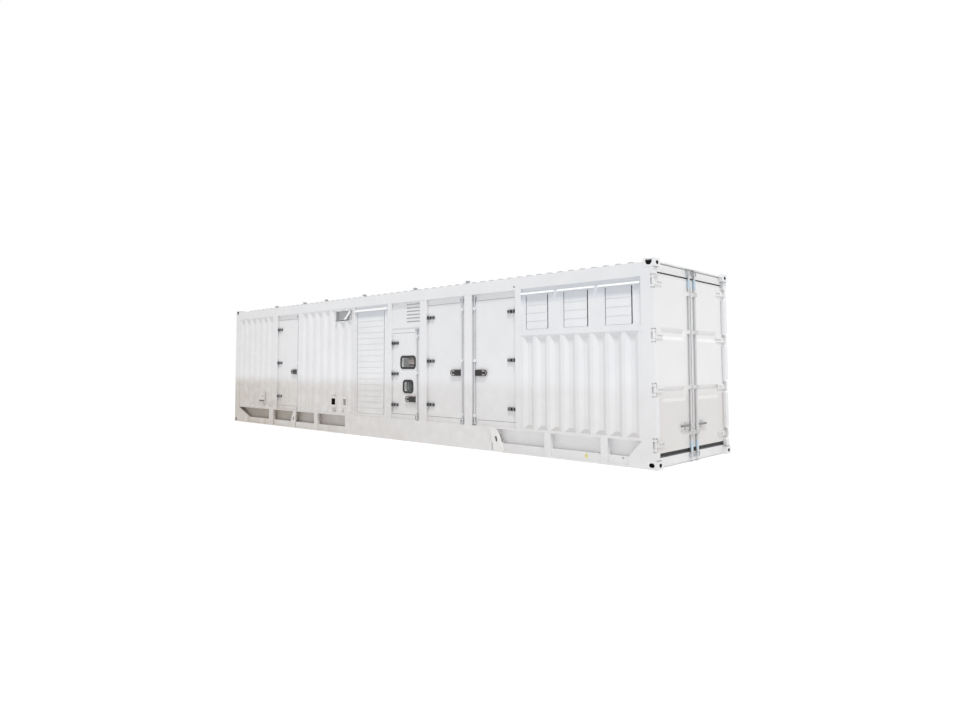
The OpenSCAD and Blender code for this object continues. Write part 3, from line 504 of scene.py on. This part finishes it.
nodeMaterials = {
    "man_door": whitePaint("manLeafPaint", lined=False, extra=leafSealAndGapShade((2145, 3095), 2540)),
    "control_door": whitePaint("controlLeafPaint", lined=False, extra=leafSealAndGapShade((6520, 7350), 2060)),
    "access_door_left": whitePaint("leftLeafPaint", lined=False, extra=leafSealAndGapShade((7550, 8530), 2540)),
    "access_door_right": whitePaint("rightLeafPaint", lined=False, extra=leafSealAndGapShade((8720, 9690), 2540)),
    "base_side_front": whitePaint("basePaint", lined=False, extra=bayShadeAndDirt),
    "base_side_back": whitePaint("baseBackPaint", lined=False, extra=bayShadeAndDirt),
    "top_castings": whitePaint("castingPaint", lined=False, extra=socketPaintedShade),
    "bottom_castings": whitePaint("footPaint", lined=False, extra=socketPaintedShade),
    "vent_scoop": whitePaint("scoopPaint", lined=False, extra=marked(sideMarks["scoop"])),
    "front_panels": whitePaint("frontPanelPaint", extra=foldShade),
    "back_panels": whitePaint("backPanelPaint", extra=foldShade),
    # black band on the top of the sill: the door seal's lower edge, widened with painted shade
    "door_sill": whitePaint("sillPaint", lined=False,
                            extra=boxed((5.9, -1.12, 0.140), (6.06, 1.12, 0.17), sealSettings["tone"])),
    "pocket_boxes": whitePaint("pocketPaint", lined=False, extra=marked(sideMarks["pockets"])),
    "end_door_left": endPaint, "end_door_right": endPaint,
    "end_left_straps": endPaint, "end_right_straps": endPaint,
    "end_hinges": housingPaint, "door_header": headerPaint, "side_hinges": keeperZinc, "lock_keepers": keeperZinc,
    "roof_caps": capSteel("capSteel"),
    "man_door_straps": hingeBlack, "control_door_straps": hingeBlack, "access_left_straps": hingeBlack,
    "access_right_straps": hingeBlack, "control_gaskets": sealRubber, "end_left_gasket": sealRubber,
    "end_right_gasket": sealRubber, "control_windows": glass, "floor_deck": deck, "control_cabinet": cabinetPaint,
    "man_door_rod": leverSteel("manLever", 3.055 - halfLength, -1, 1.300, 0.29),
    "control_door_rod": leverSteel("controlLever", 7.260 - halfLength, -1, 0.792, 0.33),
    "access_left_rod": leverSteel("leftLever", 8.460 - halfLength, -1, 1.300, 0.29),
    "access_right_rod": leverSteel("rightLever", 8.760 - halfLength, 1, 1.300, 0.29),
    "end_left_rod": endRodSteel("endRodLeft"), "end_right_rod": endRodSteel("endRodRight"),
}
for nodeName, obj in nodeObjects.items():
    mat = nodeMaterials.get(nodeName, housingPaint)
    obj.data.materials.clear()
    obj.data.materials.append(mat)
print("materials set")


def newTree(name, numbers):
    tree = bpy.data.node_groups.new(name, "GeometryNodeTree")
    face = tree.interface
    face.new_socket("Geometry", in_out="INPUT", socket_type="NodeSocketGeometry")
    for label, kind, value in numbers:
        socket = face.new_socket(label, in_out="INPUT", socket_type=kind)
        if value is not None:
            socket.default_value = value
    face.new_socket("Geometry", in_out="OUTPUT", socket_type="NodeSocketGeometry")
    return tree, tree.nodes.new("NodeGroupInput"), tree.nodes.new("NodeGroupOutput")


def addPiece(name, mesh, body, instead=()):
    piece = bpy.data.objects.new(name, mesh)
    bpy.context.collection.objects.link(piece)
    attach(piece, body)
    if instead:
        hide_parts(*instead)
    return piece


def runTree(name, mesh, tree, values, body):
    # evaluates the tree once and keeps the plain mesh it gives
    source = bpy.data.objects.new(name + "Source", mesh)
    bpy.context.collection.objects.link(source)
    modifier = source.modifiers.new("build", "NODES")
    modifier.node_group = tree
    for item in tree.interface.items_tree:
        if getattr(item, "in_out", "") == "INPUT" and item.name in values:
            modifier[item.identifier] = values[item.name]
    graph = bpy.context.evaluated_depsgraph_get()
    result = bpy.data.meshes.new_from_object(source.evaluated_get(graph), depsgraph=graph)
    source.modifiers.remove(modifier)
    bpy.data.objects.remove(source)
    return addPiece(name, result, body)


boltShape = {"taper": 0.9, "sides": 6, "washerFoot": 1.45, "washerTop": 1.40, "washerHeight": 0.28, "washerSides": 14}


def boltTree():
    # a hexagon head on a washer at each point, facing along the point's own direction
    tree, start, end = newTree("hexBolts", [("Radius", "NodeSocketFloat", 0.008),
                                            ("Height", "NodeSocketFloat", 0.006),
                                            ("Finish", "NodeSocketMaterial", None)])
    head = addNode(tree, "GeometryNodeMeshCone", fill_type="TRIANGLE_FAN", Vertices=boltShape["sides"])
    join(tree, start.outputs["Radius"], head.inputs["Radius Bottom"])
    join(tree, math2(tree, "MULTIPLY", start.outputs["Radius"], boltShape["taper"]), head.inputs["Radius Top"])
    join(tree, start.outputs["Height"], head.inputs["Depth"])
    washer = addNode(tree, "GeometryNodeMeshCone", fill_type="TRIANGLE_FAN", Vertices=boltShape["washerSides"])
    for source, share, target in (("Radius", "washerFoot", "Radius Bottom"), ("Radius", "washerTop", "Radius Top"),
                                  ("Height", "washerHeight", "Depth")):
        join(tree, math2(tree, "MULTIPLY", start.outputs[source], boltShape[share]), washer.inputs[target])
    both = addNode(tree, "GeometryNodeJoinGeometry")
    join(tree, head.outputs["Mesh"], both.inputs[0])
    join(tree, washer.outputs["Mesh"], both.inputs[0])
    facing = addNode(tree, "GeometryNodeInputNamedAttribute", data_type="FLOAT_VECTOR")
    facing.inputs["Name"].default_value = "facing"
    turn = addNode(tree, "FunctionNodeAlignRotationToVector", axis="Z")
    join(tree, facing.outputs["Attribute"], turn.inputs["Vector"])
    copies = addNode(tree, "GeometryNodeInstanceOnPoints")
    join(tree, start.outputs["Geometry"], copies.inputs["Points"])
    join(tree, both.outputs[0], copies.inputs["Instance"])
    join(tree, turn.outputs[0], copies.inputs["Rotation"])
    finishTree(tree, start, end, copies.outputs[0])
    return tree


def finishTree(tree, start, end, geometry):
    real = tree.nodes.new("GeometryNodeRealizeInstances")
    paint = tree.nodes.new("GeometryNodeSetMaterial")
    join(tree, geometry, real.inputs[0])
    join(tree, real.outputs[0], paint.inputs[0])
    join(tree, start.outputs["Finish"], paint.inputs["Material"])
    join(tree, paint.outputs[0], end.inputs[0])


def rowTree(name, axis):
    # copies of the incoming mesh, one pitch apart along one axis
    tree, start, end = newTree(name, [("Rows", "NodeSocketInt", 3), ("Pitch", "NodeSocketFloat", 0.2),
                                      ("Finish", "NodeSocketMaterial", None)])
    line = addNode(tree, "GeometryNodeMeshLine", mode="OFFSET")
    join(tree, start.outputs["Rows"], line.inputs["Count"])
    step = addNode(tree, "ShaderNodeCombineXYZ")
    join(tree, start.outputs["Pitch"], step.inputs[axis])
    join(tree, step.outputs[0], line.inputs["Offset"])
    copies = addNode(tree, "GeometryNodeInstanceOnPoints")
    join(tree, line.outputs[0], copies.inputs["Points"])
    join(tree, start.outputs["Geometry"], copies.inputs["Instance"])
    finishTree(tree, start, end, copies.outputs[0])
    return tree


def pointMesh(name, spots):
    mesh = bpy.data.meshes.new(name)
    mesh.from_pydata([spot[0] for spot in spots], [], [])
    facing = mesh.attributes.new("facing", "FLOAT_VECTOR", "POINT")
    for i, spot in enumerate(spots):
        facing.data[i].vector = spot[1]
    return mesh


hexBolts = boltTree()
boltSettings = {
    "hinge": (0.0065, 0.005), "endStrap": (0.008, 0.0064), "rail": (0.013, 0.005),  # radius, height
    "strapSteps": ((41, 13), (106, 14), (144, 14)), "strapDepth": 15,  # along the strap, half the gap of a pair
    "guideStep": 29, "guideDepth": 27, "guideFacing": (0.72, -0.69),
    "endHinges": ((0.935, 0.985, 1.035), (330, 1080, 1830, 2580), 0.0555),
    "endGuides": ((0.072, 0.114), (420, 1092, 1911, 2480), 0.017, 0.0215),
    "endGrip": (0.262, 0.533, 0.045, 0.058), "railSpot": (11648, 22, 118),
}


def bolts(name, body, spots, size, mat=boltZinc):
    return runTree(name, pointMesh(name, spots), hexBolts, {"Radius": size[0], "Height": size[1], "Finish": mat},
                   body)


out, outEnd = (0, -1, 0), (1, 0, 0)
# hinge axis and its side of the leaf, heights of the straps, rod, heights of the rod's guides
sideLeaves = {
    "man_leaf": (2160, 1, (712, 1510, 2312), 3055, (570, 1510, 2410)),
    "control_leaf": (6535, 1, (672, 1272, 1870), 7260, (570, 1290, 1980)),
    "access_left_leaf": (7565, 1, (712, 1510, 2312), 8460, (570, 1510, 2410)),
    "access_right_leaf": (9675, -1, (712, 1510, 2312), 8760, (570, 1510, 2410)),
}
for body, (axisU, way, heights, rodU, guideHeights) in sideLeaves.items():
    spots = []
    for z in heights:
        for step, gap in boltSettings["strapSteps"]:
            for dz in (-gap, gap):
                spots.append((sidePoint(axisU + way * step, boltSettings["strapDepth"], z + dz), out))
    facingX, facingY = boltSettings["guideFacing"]
    for z in guideHeights:
        for side in (-1, 1):
            spots.append((sidePoint(rodU + side * boltSettings["guideStep"], boltSettings["guideDepth"], z),
                          (side * facingX, facingY, 0)))
    bolts(body + "Bolts", body, spots, boltSettings["hinge"])
print("side door bolts made")

for side, body in ((-1, "end_left_leaf"), (1, "end_right_leaf")):
    across, heights, depth = boltSettings["endHinges"]
    spots = [((halfLength - depth, side * y, z / 1000), outEnd) for z in heights for y in across]
    across, heights, gap, depth = boltSettings["endGuides"]
    spots += [((halfLength - depth, side * y, z / 1000 + dz), outEnd)
              for z in heights for y in across for dz in (-gap, gap)]
    y, z, gap, depth = boltSettings["endGrip"]
    spots += [((halfLength - depth, side * y, z + dz), outEnd) for dz in (-gap, gap)]
    bolts(body + "Bolts", body, spots, boltSettings["endStrap"])
bolts("housingBolts", "housing", [(sidePoint(*boltSettings["railSpot"]), out)], boltSettings["rail"])
print("end door and rail bolts made")


def prism(outline, low, high, place):
    # closed solid over an outline, from low to high along the third direction
    n = len(outline)
    points = [place(a, b, c) for c in (low, high) for a, b in outline]
    sides = [(i, (i + 1) % n, n + (i + 1) % n, n + i) for i in range(n)]
    return points, [tuple(range(n)), tuple(range(2 * n - 1, n - 1, -1))] + sides


def sheetRing(outer, inner, low, high, place):
    # closed plate with a hole; both outlines have the same number of corners
    n = len(outer)
    points = [place(a, b, c) for c in (low, high) for a, b in outer + inner]
    faces = []
    for i in range(n):
        j = (i + 1) % n
        faces += [(i, j, n + j, n + i), (2 * n + i, 3 * n + i, 3 * n + j, 2 * n + j),
                  (i, 2 * n + i, 2 * n + j, j), (n + i, n + j, 3 * n + j, 3 * n + i)]
    return points, faces


def shellMesh(name, shells):
    form = bmesh.new()
    for points, faces in shells:
        verts = [form.verts.new(point) for point in points]
        for face in faces:
            form.faces.new([verts[i] for i in face])
    bmesh.ops.recalc_face_normals(form, faces=form.faces)
    mesh = bpy.data.meshes.new(name)
    form.to_mesh(mesh)
    form.free()
    return mesh


def housingPiece(name, shells, mat, body="housing", instead=()):
    mesh = shellMesh(name, shells)
    mesh.materials.append(mat)
    return addPiece(name, mesh, body, instead)


def facePlace(u, z, y):
    return sidePoint(u, y, z)


def backPlace(u, z, y):
    return sidePoint(u, y, z, back=True)


def alongPlace(y, z, u):
    return sidePoint(u, y, z)


def alongBack(y, z, u):
    return sidePoint(u, y, z, back=True)


def rectangle(u, z):
    return [(u[0], z[0]), (u[1], z[0]), (u[1], z[1]), (u[0], z[1])]


def slab(u, y, z, place=facePlace):
    return prism(rectangle(u, z), y[0], y[1], place)


louvreSettings = {
    "face": 24, "back": 100, "bladeFront": 32, "bladeThick": 3, "lean": 5, "slits": (10, 24), "lap": 10, "gap": 3,
    "bar": 40, "barInset": 70, "barSpan": (1, 15),
    "tallPanel": ((5300, 6400), (400, 2660)), "tallHole": ((5358, 6270), (458, 2540)),
    "tallRows": 16, "tallPitch": 118,
    "highPanels": ((9815, 10496), (10496, 11236), (11236, 11970)), "highZ": (1970, 2660),
    "highHoles": ((9901, 10352), (10641, 11091), (11380, 11831)), "highHoleZ": (2000, 2546),
    "highRows": 3, "highPitch": 129,
}

bladeStack = rowTree("bladeStack", "Z")


def louvreBank(name, panel, hole, rows, pitch, back=False, sizes=louvreSettings):
    # panel shell, backing bars and the tall top blade; the like blades come from the tree
    (u0, u1), (z0, z1) = hole
    u0, u1 = u0 + sizes["slits"][0], u1 - sizes["slits"][1]
    front, thick, lean = sizes["bladeFront"], sizes["bladeThick"], sizes["lean"]
    place, along = (backPlace, alongBack) if back else (facePlace, alongPlace)

    def blade(z, height):
        outline = [(front, z), (front + thick, z), (front + thick + lean, z + height), (front + lean, z + height)]
        return prism(outline, u0, u1, along)

    runTree(name + "Blades", shellMesh(name + "Blade", [blade(z0 + sizes["gap"], pitch + sizes["lap"])]), bladeStack,
            {"Rows": rows, "Pitch": pitch / 1000, "Finish": bladePaint}, "housing")
    top = z0 + sizes["gap"] + rows * pitch
    frameRing = sheetRing(rectangle(*panel), rectangle(*hole), sizes["face"], sizes["back"], place)
    shells = [frameRing, blade(top, z1 - top)]
    depth = [front + thick + lean + step for step in sizes["barSpan"]]
    for middle in (u0 + sizes["barInset"], u1 - sizes["barInset"]):
        shells.append(slab((middle - sizes["bar"] / 2, middle + sizes["bar"] / 2), depth, (z0, z1), place))
    return shells


def bothBanks(prefix, back):
    g = louvreSettings
    tall = louvreBank(prefix + "Tall", g["tallPanel"], g["tallHole"], g["tallRows"], g["tallPitch"], back)
    high = []
    for i, (panelU, holeU) in enumerate(zip(g["highPanels"], g["highHoles"])):
        high += louvreBank(prefix + "High%d" % (i + 1), (panelU, g["highZ"]), (holeU, g["highHoleZ"]),
                           g["highRows"], g["highPitch"], back)
    return tall, high


tall, high = bothBanks("front", False)
housingPiece("tallLouvre", tall, bladePaint, instead=("tall_louvre",))
housingPiece("highLouvres", high, bladePaint, instead=("high_louvres",))
tall, high = bothBanks("back", True)
housingPiece("backLouvres", tall + high, bladePaint, instead=("back_louvres",))
print("louvres made")

hoodSettings = {"spans": ((9786, 10472), (10526, 11211), (11265, 11951)), "z": (2562, 2597),
                "tallSpan": (5305, 6380), "tallZ": (2552, 2598), "sheet": 6,
                "depth": (-3, 1, 24), "drops": (22, 26), "lip": (3, 30), "under": (18, 12), "heel": 8}


def hoodShell(u, z, sizes=hoodSettings):
    # folded sheet with a drip edge, open underneath, closed by small cheeks
    (front, nose, wall), (low, high), sheet = sizes["depth"], z, sizes["sheet"]
    drop, lipDrop = sizes["drops"]
    cheek = [(wall, low), (wall, high), (nose, high - drop), (front, high - lipDrop), (front, low)]
    (lipY, lipUnder), (underY, under) = sizes["lip"], sizes["under"]
    fold = [(wall, low + sizes["heel"])] + cheek[1:] + [(lipY, low), (lipY, high - lipUnder), (underY, high - under)]
    shells = [prism(fold, u[0] + sheet, u[1] - sheet, alongPlace)]
    for a in (u[0], u[1] - sheet):
        shells.append(prism(cheek, a, a + sheet, alongPlace))
    return shells


hoodShells = []
for span in hoodSettings["spans"]:
    hoodShells += hoodShell(span, hoodSettings["z"])
hoodShells += hoodShell(hoodSettings["tallSpan"], hoodSettings["tallZ"])
housingPiece("rainHoods", hoodShells, hoodPaint, instead=("rain_hoods",))


def disc(u, radius, g=capSettings):
    turns = [math.tau * k / g["sides"] for k in range(g["sides"])]
    return [(u + radius * math.cos(t), g["inset"] + radius * math.sin(t)) for t in turns]


capShells = []
for u in capSettings["stations"]:
    for upPlace in (lambda a, b, c: facePlace(a, c, b), lambda a, b, c: backPlace(a, c, b)):
        capShells.append(prism(disc(u, capSettings["stem"]), capSettings["base"], capSettings["neck"], upPlace))
        capShells.append(prism(disc(u, capSettings["hood"]), capSettings["neck"], capSettings["top"], upPlace))
housingPiece("ventCaps", capShells, capSteel("ventCapSteel"), instead=("roof_caps",))


def carved(name, nodeName, cutShells, mat):
    # a copy of a CAD node with more cut out of it, shown instead of the node
    copy = nodeObjects[nodeName].data.copy()
    form = bmesh.new()
    form.from_mesh(copy)
    bmesh.ops.remove_doubles(form, verts=form.verts, dist=1e-6)
    form.to_mesh(copy)
    form.free()
    source = bpy.data.objects.new(name + "Source", copy)
    cutter = bpy.data.objects.new(name + "Cutter", shellMesh(name + "Cutter", cutShells))
    for item in (source, cutter):
        bpy.context.collection.objects.link(item)
    cut = source.modifiers.new("cut", "BOOLEAN")
    cut.operation, cut.solver, cut.object = "DIFFERENCE", "EXACT", cutter
    cut.use_self = True
    graph = bpy.context.evaluated_depsgraph_get()
    mesh = bpy.data.meshes.new_from_object(source.evaluated_get(graph), depsgraph=graph)
    for item in (source, cutter):
        bpy.data.objects.remove(item)
    mesh.materials.clear()
    mesh.materials.append(mat)
    return addPiece(name, mesh, "housing", (nodeName,))


railSettings = {"setBack": 22, "lip": 20, "railTop": 141, "bayDepth": 100, "clear": -5,
                "spans": ((700, 1790), (1990, 3800), (3935, 4985), (9170, 10273), (10395, 11292), (11407, 11742)),
                "firstBay": [(226, 380), (1790, 380), (1790, 140), (700, 140)],
                "thirdBay": ((3935, 4200), (140, 380))}
for name, nodeName, place in (("railFront", "base_side_front", facePlace), ("railBack", "base_side_back", backPlace)):
    g = railSettings
    cuts = [slab(span, (g["clear"], g["setBack"]), (g["lip"], g["railTop"]), place) for span in g["spans"]]
    cuts.append(prism(g["firstBay"], g["clear"], g["bayDepth"], place))
    cuts.append(slab(g["thirdBay"][0], (g["clear"], g["bayDepth"]), g["thirdBay"][1], place))
    carved(name, nodeName, cuts, nodeMaterials[nodeName])
print("base rails carved")

lugSettings = {"foot": 2862, "top": 2974, "rise": 380, "footWidth": 230, "topWidth": 130, "front": -3, "thick": 28,
               "slotWidth": 54, "slotHeight": 103, "slotZ": 210, "turns": 10,
               "bodyFrom": (2700, fullLength - 3100), "bodyReach": 400, "bodyClear": 5}


def lugOutlines(g=lugSettings):
    # the leaning plate and its slot, with as many corners each
    shift = g["top"] - g["foot"]
    lean = math.atan2(shift, g["rise"])
    middle = g["foot"] + shift * g["slotZ"] / g["rise"]
    outer, inner = [], []
    for k in range(4 * g["turns"]):
        t = math.tau * (k + 0.5) / (4 * g["turns"])
        c, d = math.cos(t), math.sin(t)
        a, b = c * g["slotWidth"] / 2, d * g["slotWidth"] / 2
        b += math.copysign((g["slotHeight"] - g["slotWidth"]) / 2, b)
        inner.append((middle + a * math.cos(lean) + b * math.sin(lean),
                      g["slotZ"] + b * math.cos(lean) - a * math.sin(lean)))
        # the same ray carried out to the plate's edge
        far = 1 / max(abs(c), abs(d))
        z = g["slotZ"] + (g["rise"] - g["slotZ"] if d > 0 else g["slotZ"]) * d * far
        share = z / g["rise"]
        width = g["footWidth"] + (g["topWidth"] - g["footWidth"]) * share
        outer.append((g["foot"] + shift * share + c * far * width / 2, z))
    return outer, inner


outlines = lugOutlines()
mirrored = [[(fullLength - u, z) for u, z in outline] for outline in outlines]
lugShells = [sheetRing(*pair, lugSettings["front"], lugSettings["thick"], place)
             for pair in (outlines, mirrored) for place in (facePlace, backPlace)]
clear = lugSettings["bodyClear"]
cutDepth, cutHeight = (-clear - 1, lugSettings["thick"]), (-clear, lugSettings["rise"] + clear)
cuts = [slab((u, u + lugSettings["bodyReach"]), cutDepth, cutHeight, place)
        for u in lugSettings["bodyFrom"] for place in (facePlace, backPlace)]
carved("lugBodies", "lifting_lugs", cuts, housingPaint)
# painted light: the lug facings wear a lighter copy of the housing paint
lugLitPaint = whitePaint("lugLitPaint", dict(paintSettings, colour=(0.88, 0.88, 0.88), mottle=(0.84, 0.84, 0.84)),
                      lined=False)
housingPiece("lugFacings", lugShells, lugLitPaint)

castingSettings = {"centreU": 89, "centreZ": 2855, "width": 102, "height": 88, "front": -8, "wall": 16, "turns": 8}


def castingHole(u, g=castingSettings):
    hole = []
    for k in range(4 * g["turns"]):
        t = math.tau * (k + 0.5) / (4 * g["turns"])
        shift = math.copysign((g["width"] - g["height"]) / 2, math.cos(t))
        hole.append((u + g["height"] / 2 * math.cos(t) + shift, g["centreZ"] + g["height"] / 2 * math.sin(t)))
    return hole


holeCentres = (castingSettings["centreU"], fullLength - castingSettings["centreU"])
cuts = [prism(castingHole(u), castingSettings["front"], castingSettings["wall"], place)
        for u in holeCentres for place in (facePlace, backPlace)]
carved("topCorners", "top_castings", cuts, nodeMaterials["top_castings"])
print("lugs and castings made")

ribSettings = {"first": 436, "pitch": 209, "rows": 55, "crest": 60, "flank": 24, "z": (2862, 2901),
               "reach": 1.075, "taper": 0.030}


def ridgeMesh(sizes=ribSettings):
    low, high = sizes["z"][0] / 1000, sizes["z"][1] / 1000
    wide, narrow = (sizes["crest"] / 2 + sizes["flank"]) / 1000, sizes["crest"] / 2000
    points = []
    for z, half, reach in ((low, wide, sizes["reach"]), (high, narrow, sizes["reach"] - sizes["taper"])):
        points += [(x, y, z) for x, y in ((-half, -reach), (half, -reach), (half, reach), (-half, reach))]
    points = [(x + sizes["first"] / 1000 - halfLength, y, z) for x, y, z in points]
    faces = [(0, 1, 2, 3), (7, 6, 5, 4)] + [(i, (i + 1) % 4, 4 + (i + 1) % 4, 4 + i) for i in range(4)]
    return shellMesh("roofRidge", [(points, faces)])


# painted shade: the roof ridges are painted grey so their shaded ends show above the rail
ridgeShadePaint = plainPaint("ridgeShadePaint", (0.42, 0.43, 0.44), (0.50, 0.51, 0.52))
runTree("roofRidges", ridgeMesh(), rowTree("ridgeRow", "X"),
        {"Rows": ribSettings["rows"], "Pitch": ribSettings["pitch"] / 1000, "Finish": ridgeShadePaint},
        "housing")

# spans are u from the far end, y inwards and height
trimSettings = {
    "ledge": ((6515, 9695), (-3, 12), (2652, 2660, 2735)),
    "lugWedge": [(9078, 380), (9162, 380), (9202, 140), (9166, 140)], "lugWedgeDepth": (0, 99.5),
    "slotShade": ((6790, 7300), (44, 60), (2250, 2640)),
    "serviceBox": (((1280, 1570), (-3, 34), (550, 780)), ((1570, 1962), (-2, 10), (540, 556))),
    "cheek": [(5104, 2602), (5130, 2604), (5130, 2556), (4985, 2424), (4900, 2424), (5026, 2520)],
    "cheekDepth": (-3, 6), "scoopSill": ((4570, 5126), (-3, 4), (2396, 2412)),
    "sillFoot": ((-1080, 1080), (6, 34)), "sillFootDepth": (74, 188),
}
boxPaint = whitePaint("servicePaint", lined=False, extra=marked(sideMarks["serviceBox"]))
housingPiece("serviceBox", [slab(*box) for box in trimSettings["serviceBox"]], boxPaint, instead=("service_box",))
housingPiece("scoopCheek", [prism(trimSettings["cheek"], *trimSettings["cheekDepth"], facePlace),
                            slab(*trimSettings["scoopSill"])], hoodPaint)


def endPlace(y, z, d):
    return (halfLength - d / 1000, y / 1000, z / 1000)


housingPiece("sillFoot", [prism(rectangle(*trimSettings["sillFoot"]), *trimSettings["sillFootDepth"], endPlace)],
             housingPaint)
u, (front, nose), (low, fold, high) = trimSettings["ledge"]
housingPiece("dripLedge", [slab(u, (front, 0), (fold, high)), slab(u, (front, nose), (low, fold))],
             whitePaint("ledgePaint", lined=False, extra=marked(sideMarks["ledge"])))
housingPiece("lugWedges", [prism(trimSettings["lugWedge"], *trimSettings["lugWedgeDepth"], place)
                           for place in (facePlace, backPlace)], housingPaint)
# painted shade: a mid-grey sheet behind the control vent's slots sets their tone
slotShadeGrey = plainPaint("slotShadeGrey", (0.52, 0.52, 0.53), (0.46, 0.46, 0.47))
housingPiece("slotShadeSheet", [slab(*trimSettings["slotShade"])], slotShadeGrey)
print("hoods, caps and trim made")

cameraSettings = {
    "place": (10.3604, -9.2432, 1.3941),
    "yaw": 0.7592, "pitch": 0.0556, "roll": 0.0021,
    "lens": 24.167, "shift": (0.0031, -0.0297),
}
cam = bpy.data.cameras.new("camera")
cam.lens = cameraSettings["lens"]
cam.sensor_width = 36
cam.shift_x, cam.shift_y = cameraSettings["shift"]
cam.clip_end = 400
camObject = bpy.data.objects.new("camera", cam)
camObject.location = cameraSettings["place"]
camObject.rotation_euler = (math.pi / 2 + cameraSettings["pitch"], cameraSettings["roll"], cameraSettings["yaw"])
bpy.context.collection.objects.link(camObject)
bpy.context.scene.camera = camObject

lightSettings = {
    "worldStrength": 0.60,
    "suns": [("keySun", (50, -65), 2.1, 8)],
}
world = bpy.data.worlds.new("world")
bpy.context.scene.world = world
world.use_nodes = True
tree = world.node_tree
tree.nodes.clear()
path = addNode(tree, "ShaderNodeLightPath")
seen = math2(tree, "MAXIMUM", math2(tree, "MAXIMUM", path.outputs["Is Camera Ray"], path.outputs["Is Glossy Ray"]),
             path.outputs["Is Transmission Ray"])
soft = addNode(tree, "ShaderNodeBackground", Strength=lightSettings["worldStrength"])
white = addNode(tree, "ShaderNodeBackground", Strength=1.0)
mix = addNode(tree, "ShaderNodeMixShader")
worldOut = addNode(tree, "ShaderNodeOutputWorld")
soft.inputs["Color"].default_value = (1, 1, 1, 1)
white.inputs["Color"].default_value = (1, 1, 1, 1)
join(tree, seen, mix.inputs[0])
join(tree, soft.outputs[0], mix.inputs[1])
join(tree, white.outputs[0], mix.inputs[2])
join(tree, mix.outputs[0], worldOut.inputs[0])

for name, (azimuth, elevation), strength, angle in lightSettings["suns"]:
    lamp = bpy.data.lights.new(name, "SUN")
    lamp.energy = strength
    lamp.angle = math.radians(angle)
    lampObject = bpy.data.objects.new(name, lamp)
    direction = Vector((math.sin(math.radians(-azimuth)) * math.cos(math.radians(elevation)),
                        math.cos(math.radians(azimuth)) * math.cos(math.radians(elevation)),
                        math.sin(math.radians(elevation))))
    lampObject.rotation_euler = direction.to_track_quat("-Z", "Y").to_euler()
    bpy.context.collection.objects.link(lampObject)

floorSettings = {"reach": 60, "height": -0.001, "tones": ((0.93, 0.93, 0.93), (0.90, 0.90, 0.905)), "roughness": 0.9}
floorMat, tree, shader, coords = startMaterial("floorPale")
shade = spread(tree, noise(tree, coords, 0.4, 3), 0.3, 0.7)
join(tree, blendColour(tree, shade, *floorSettings["tones"]), shader.inputs["Base Color"])
shader.inputs["Roughness"].default_value = floorSettings["roughness"]
floorMesh = bpy.data.meshes.new("floor")
reach = floorSettings["reach"]
corners = [(x * reach, y * reach, floorSettings["height"]) for x, y in ((-1, -1), (1, -1), (1, 1), (-1, 1))]
floorMesh.from_pydata(corners, [], [(0, 1, 2, 3)])
floor = bpy.data.objects.new("floor", floorMesh)
floorMesh.materials.append(floorMat)
bpy.context.collection.objects.link(floor)

bpy.context.scene.view_settings.view_transform = "Standard"
print("stage set")
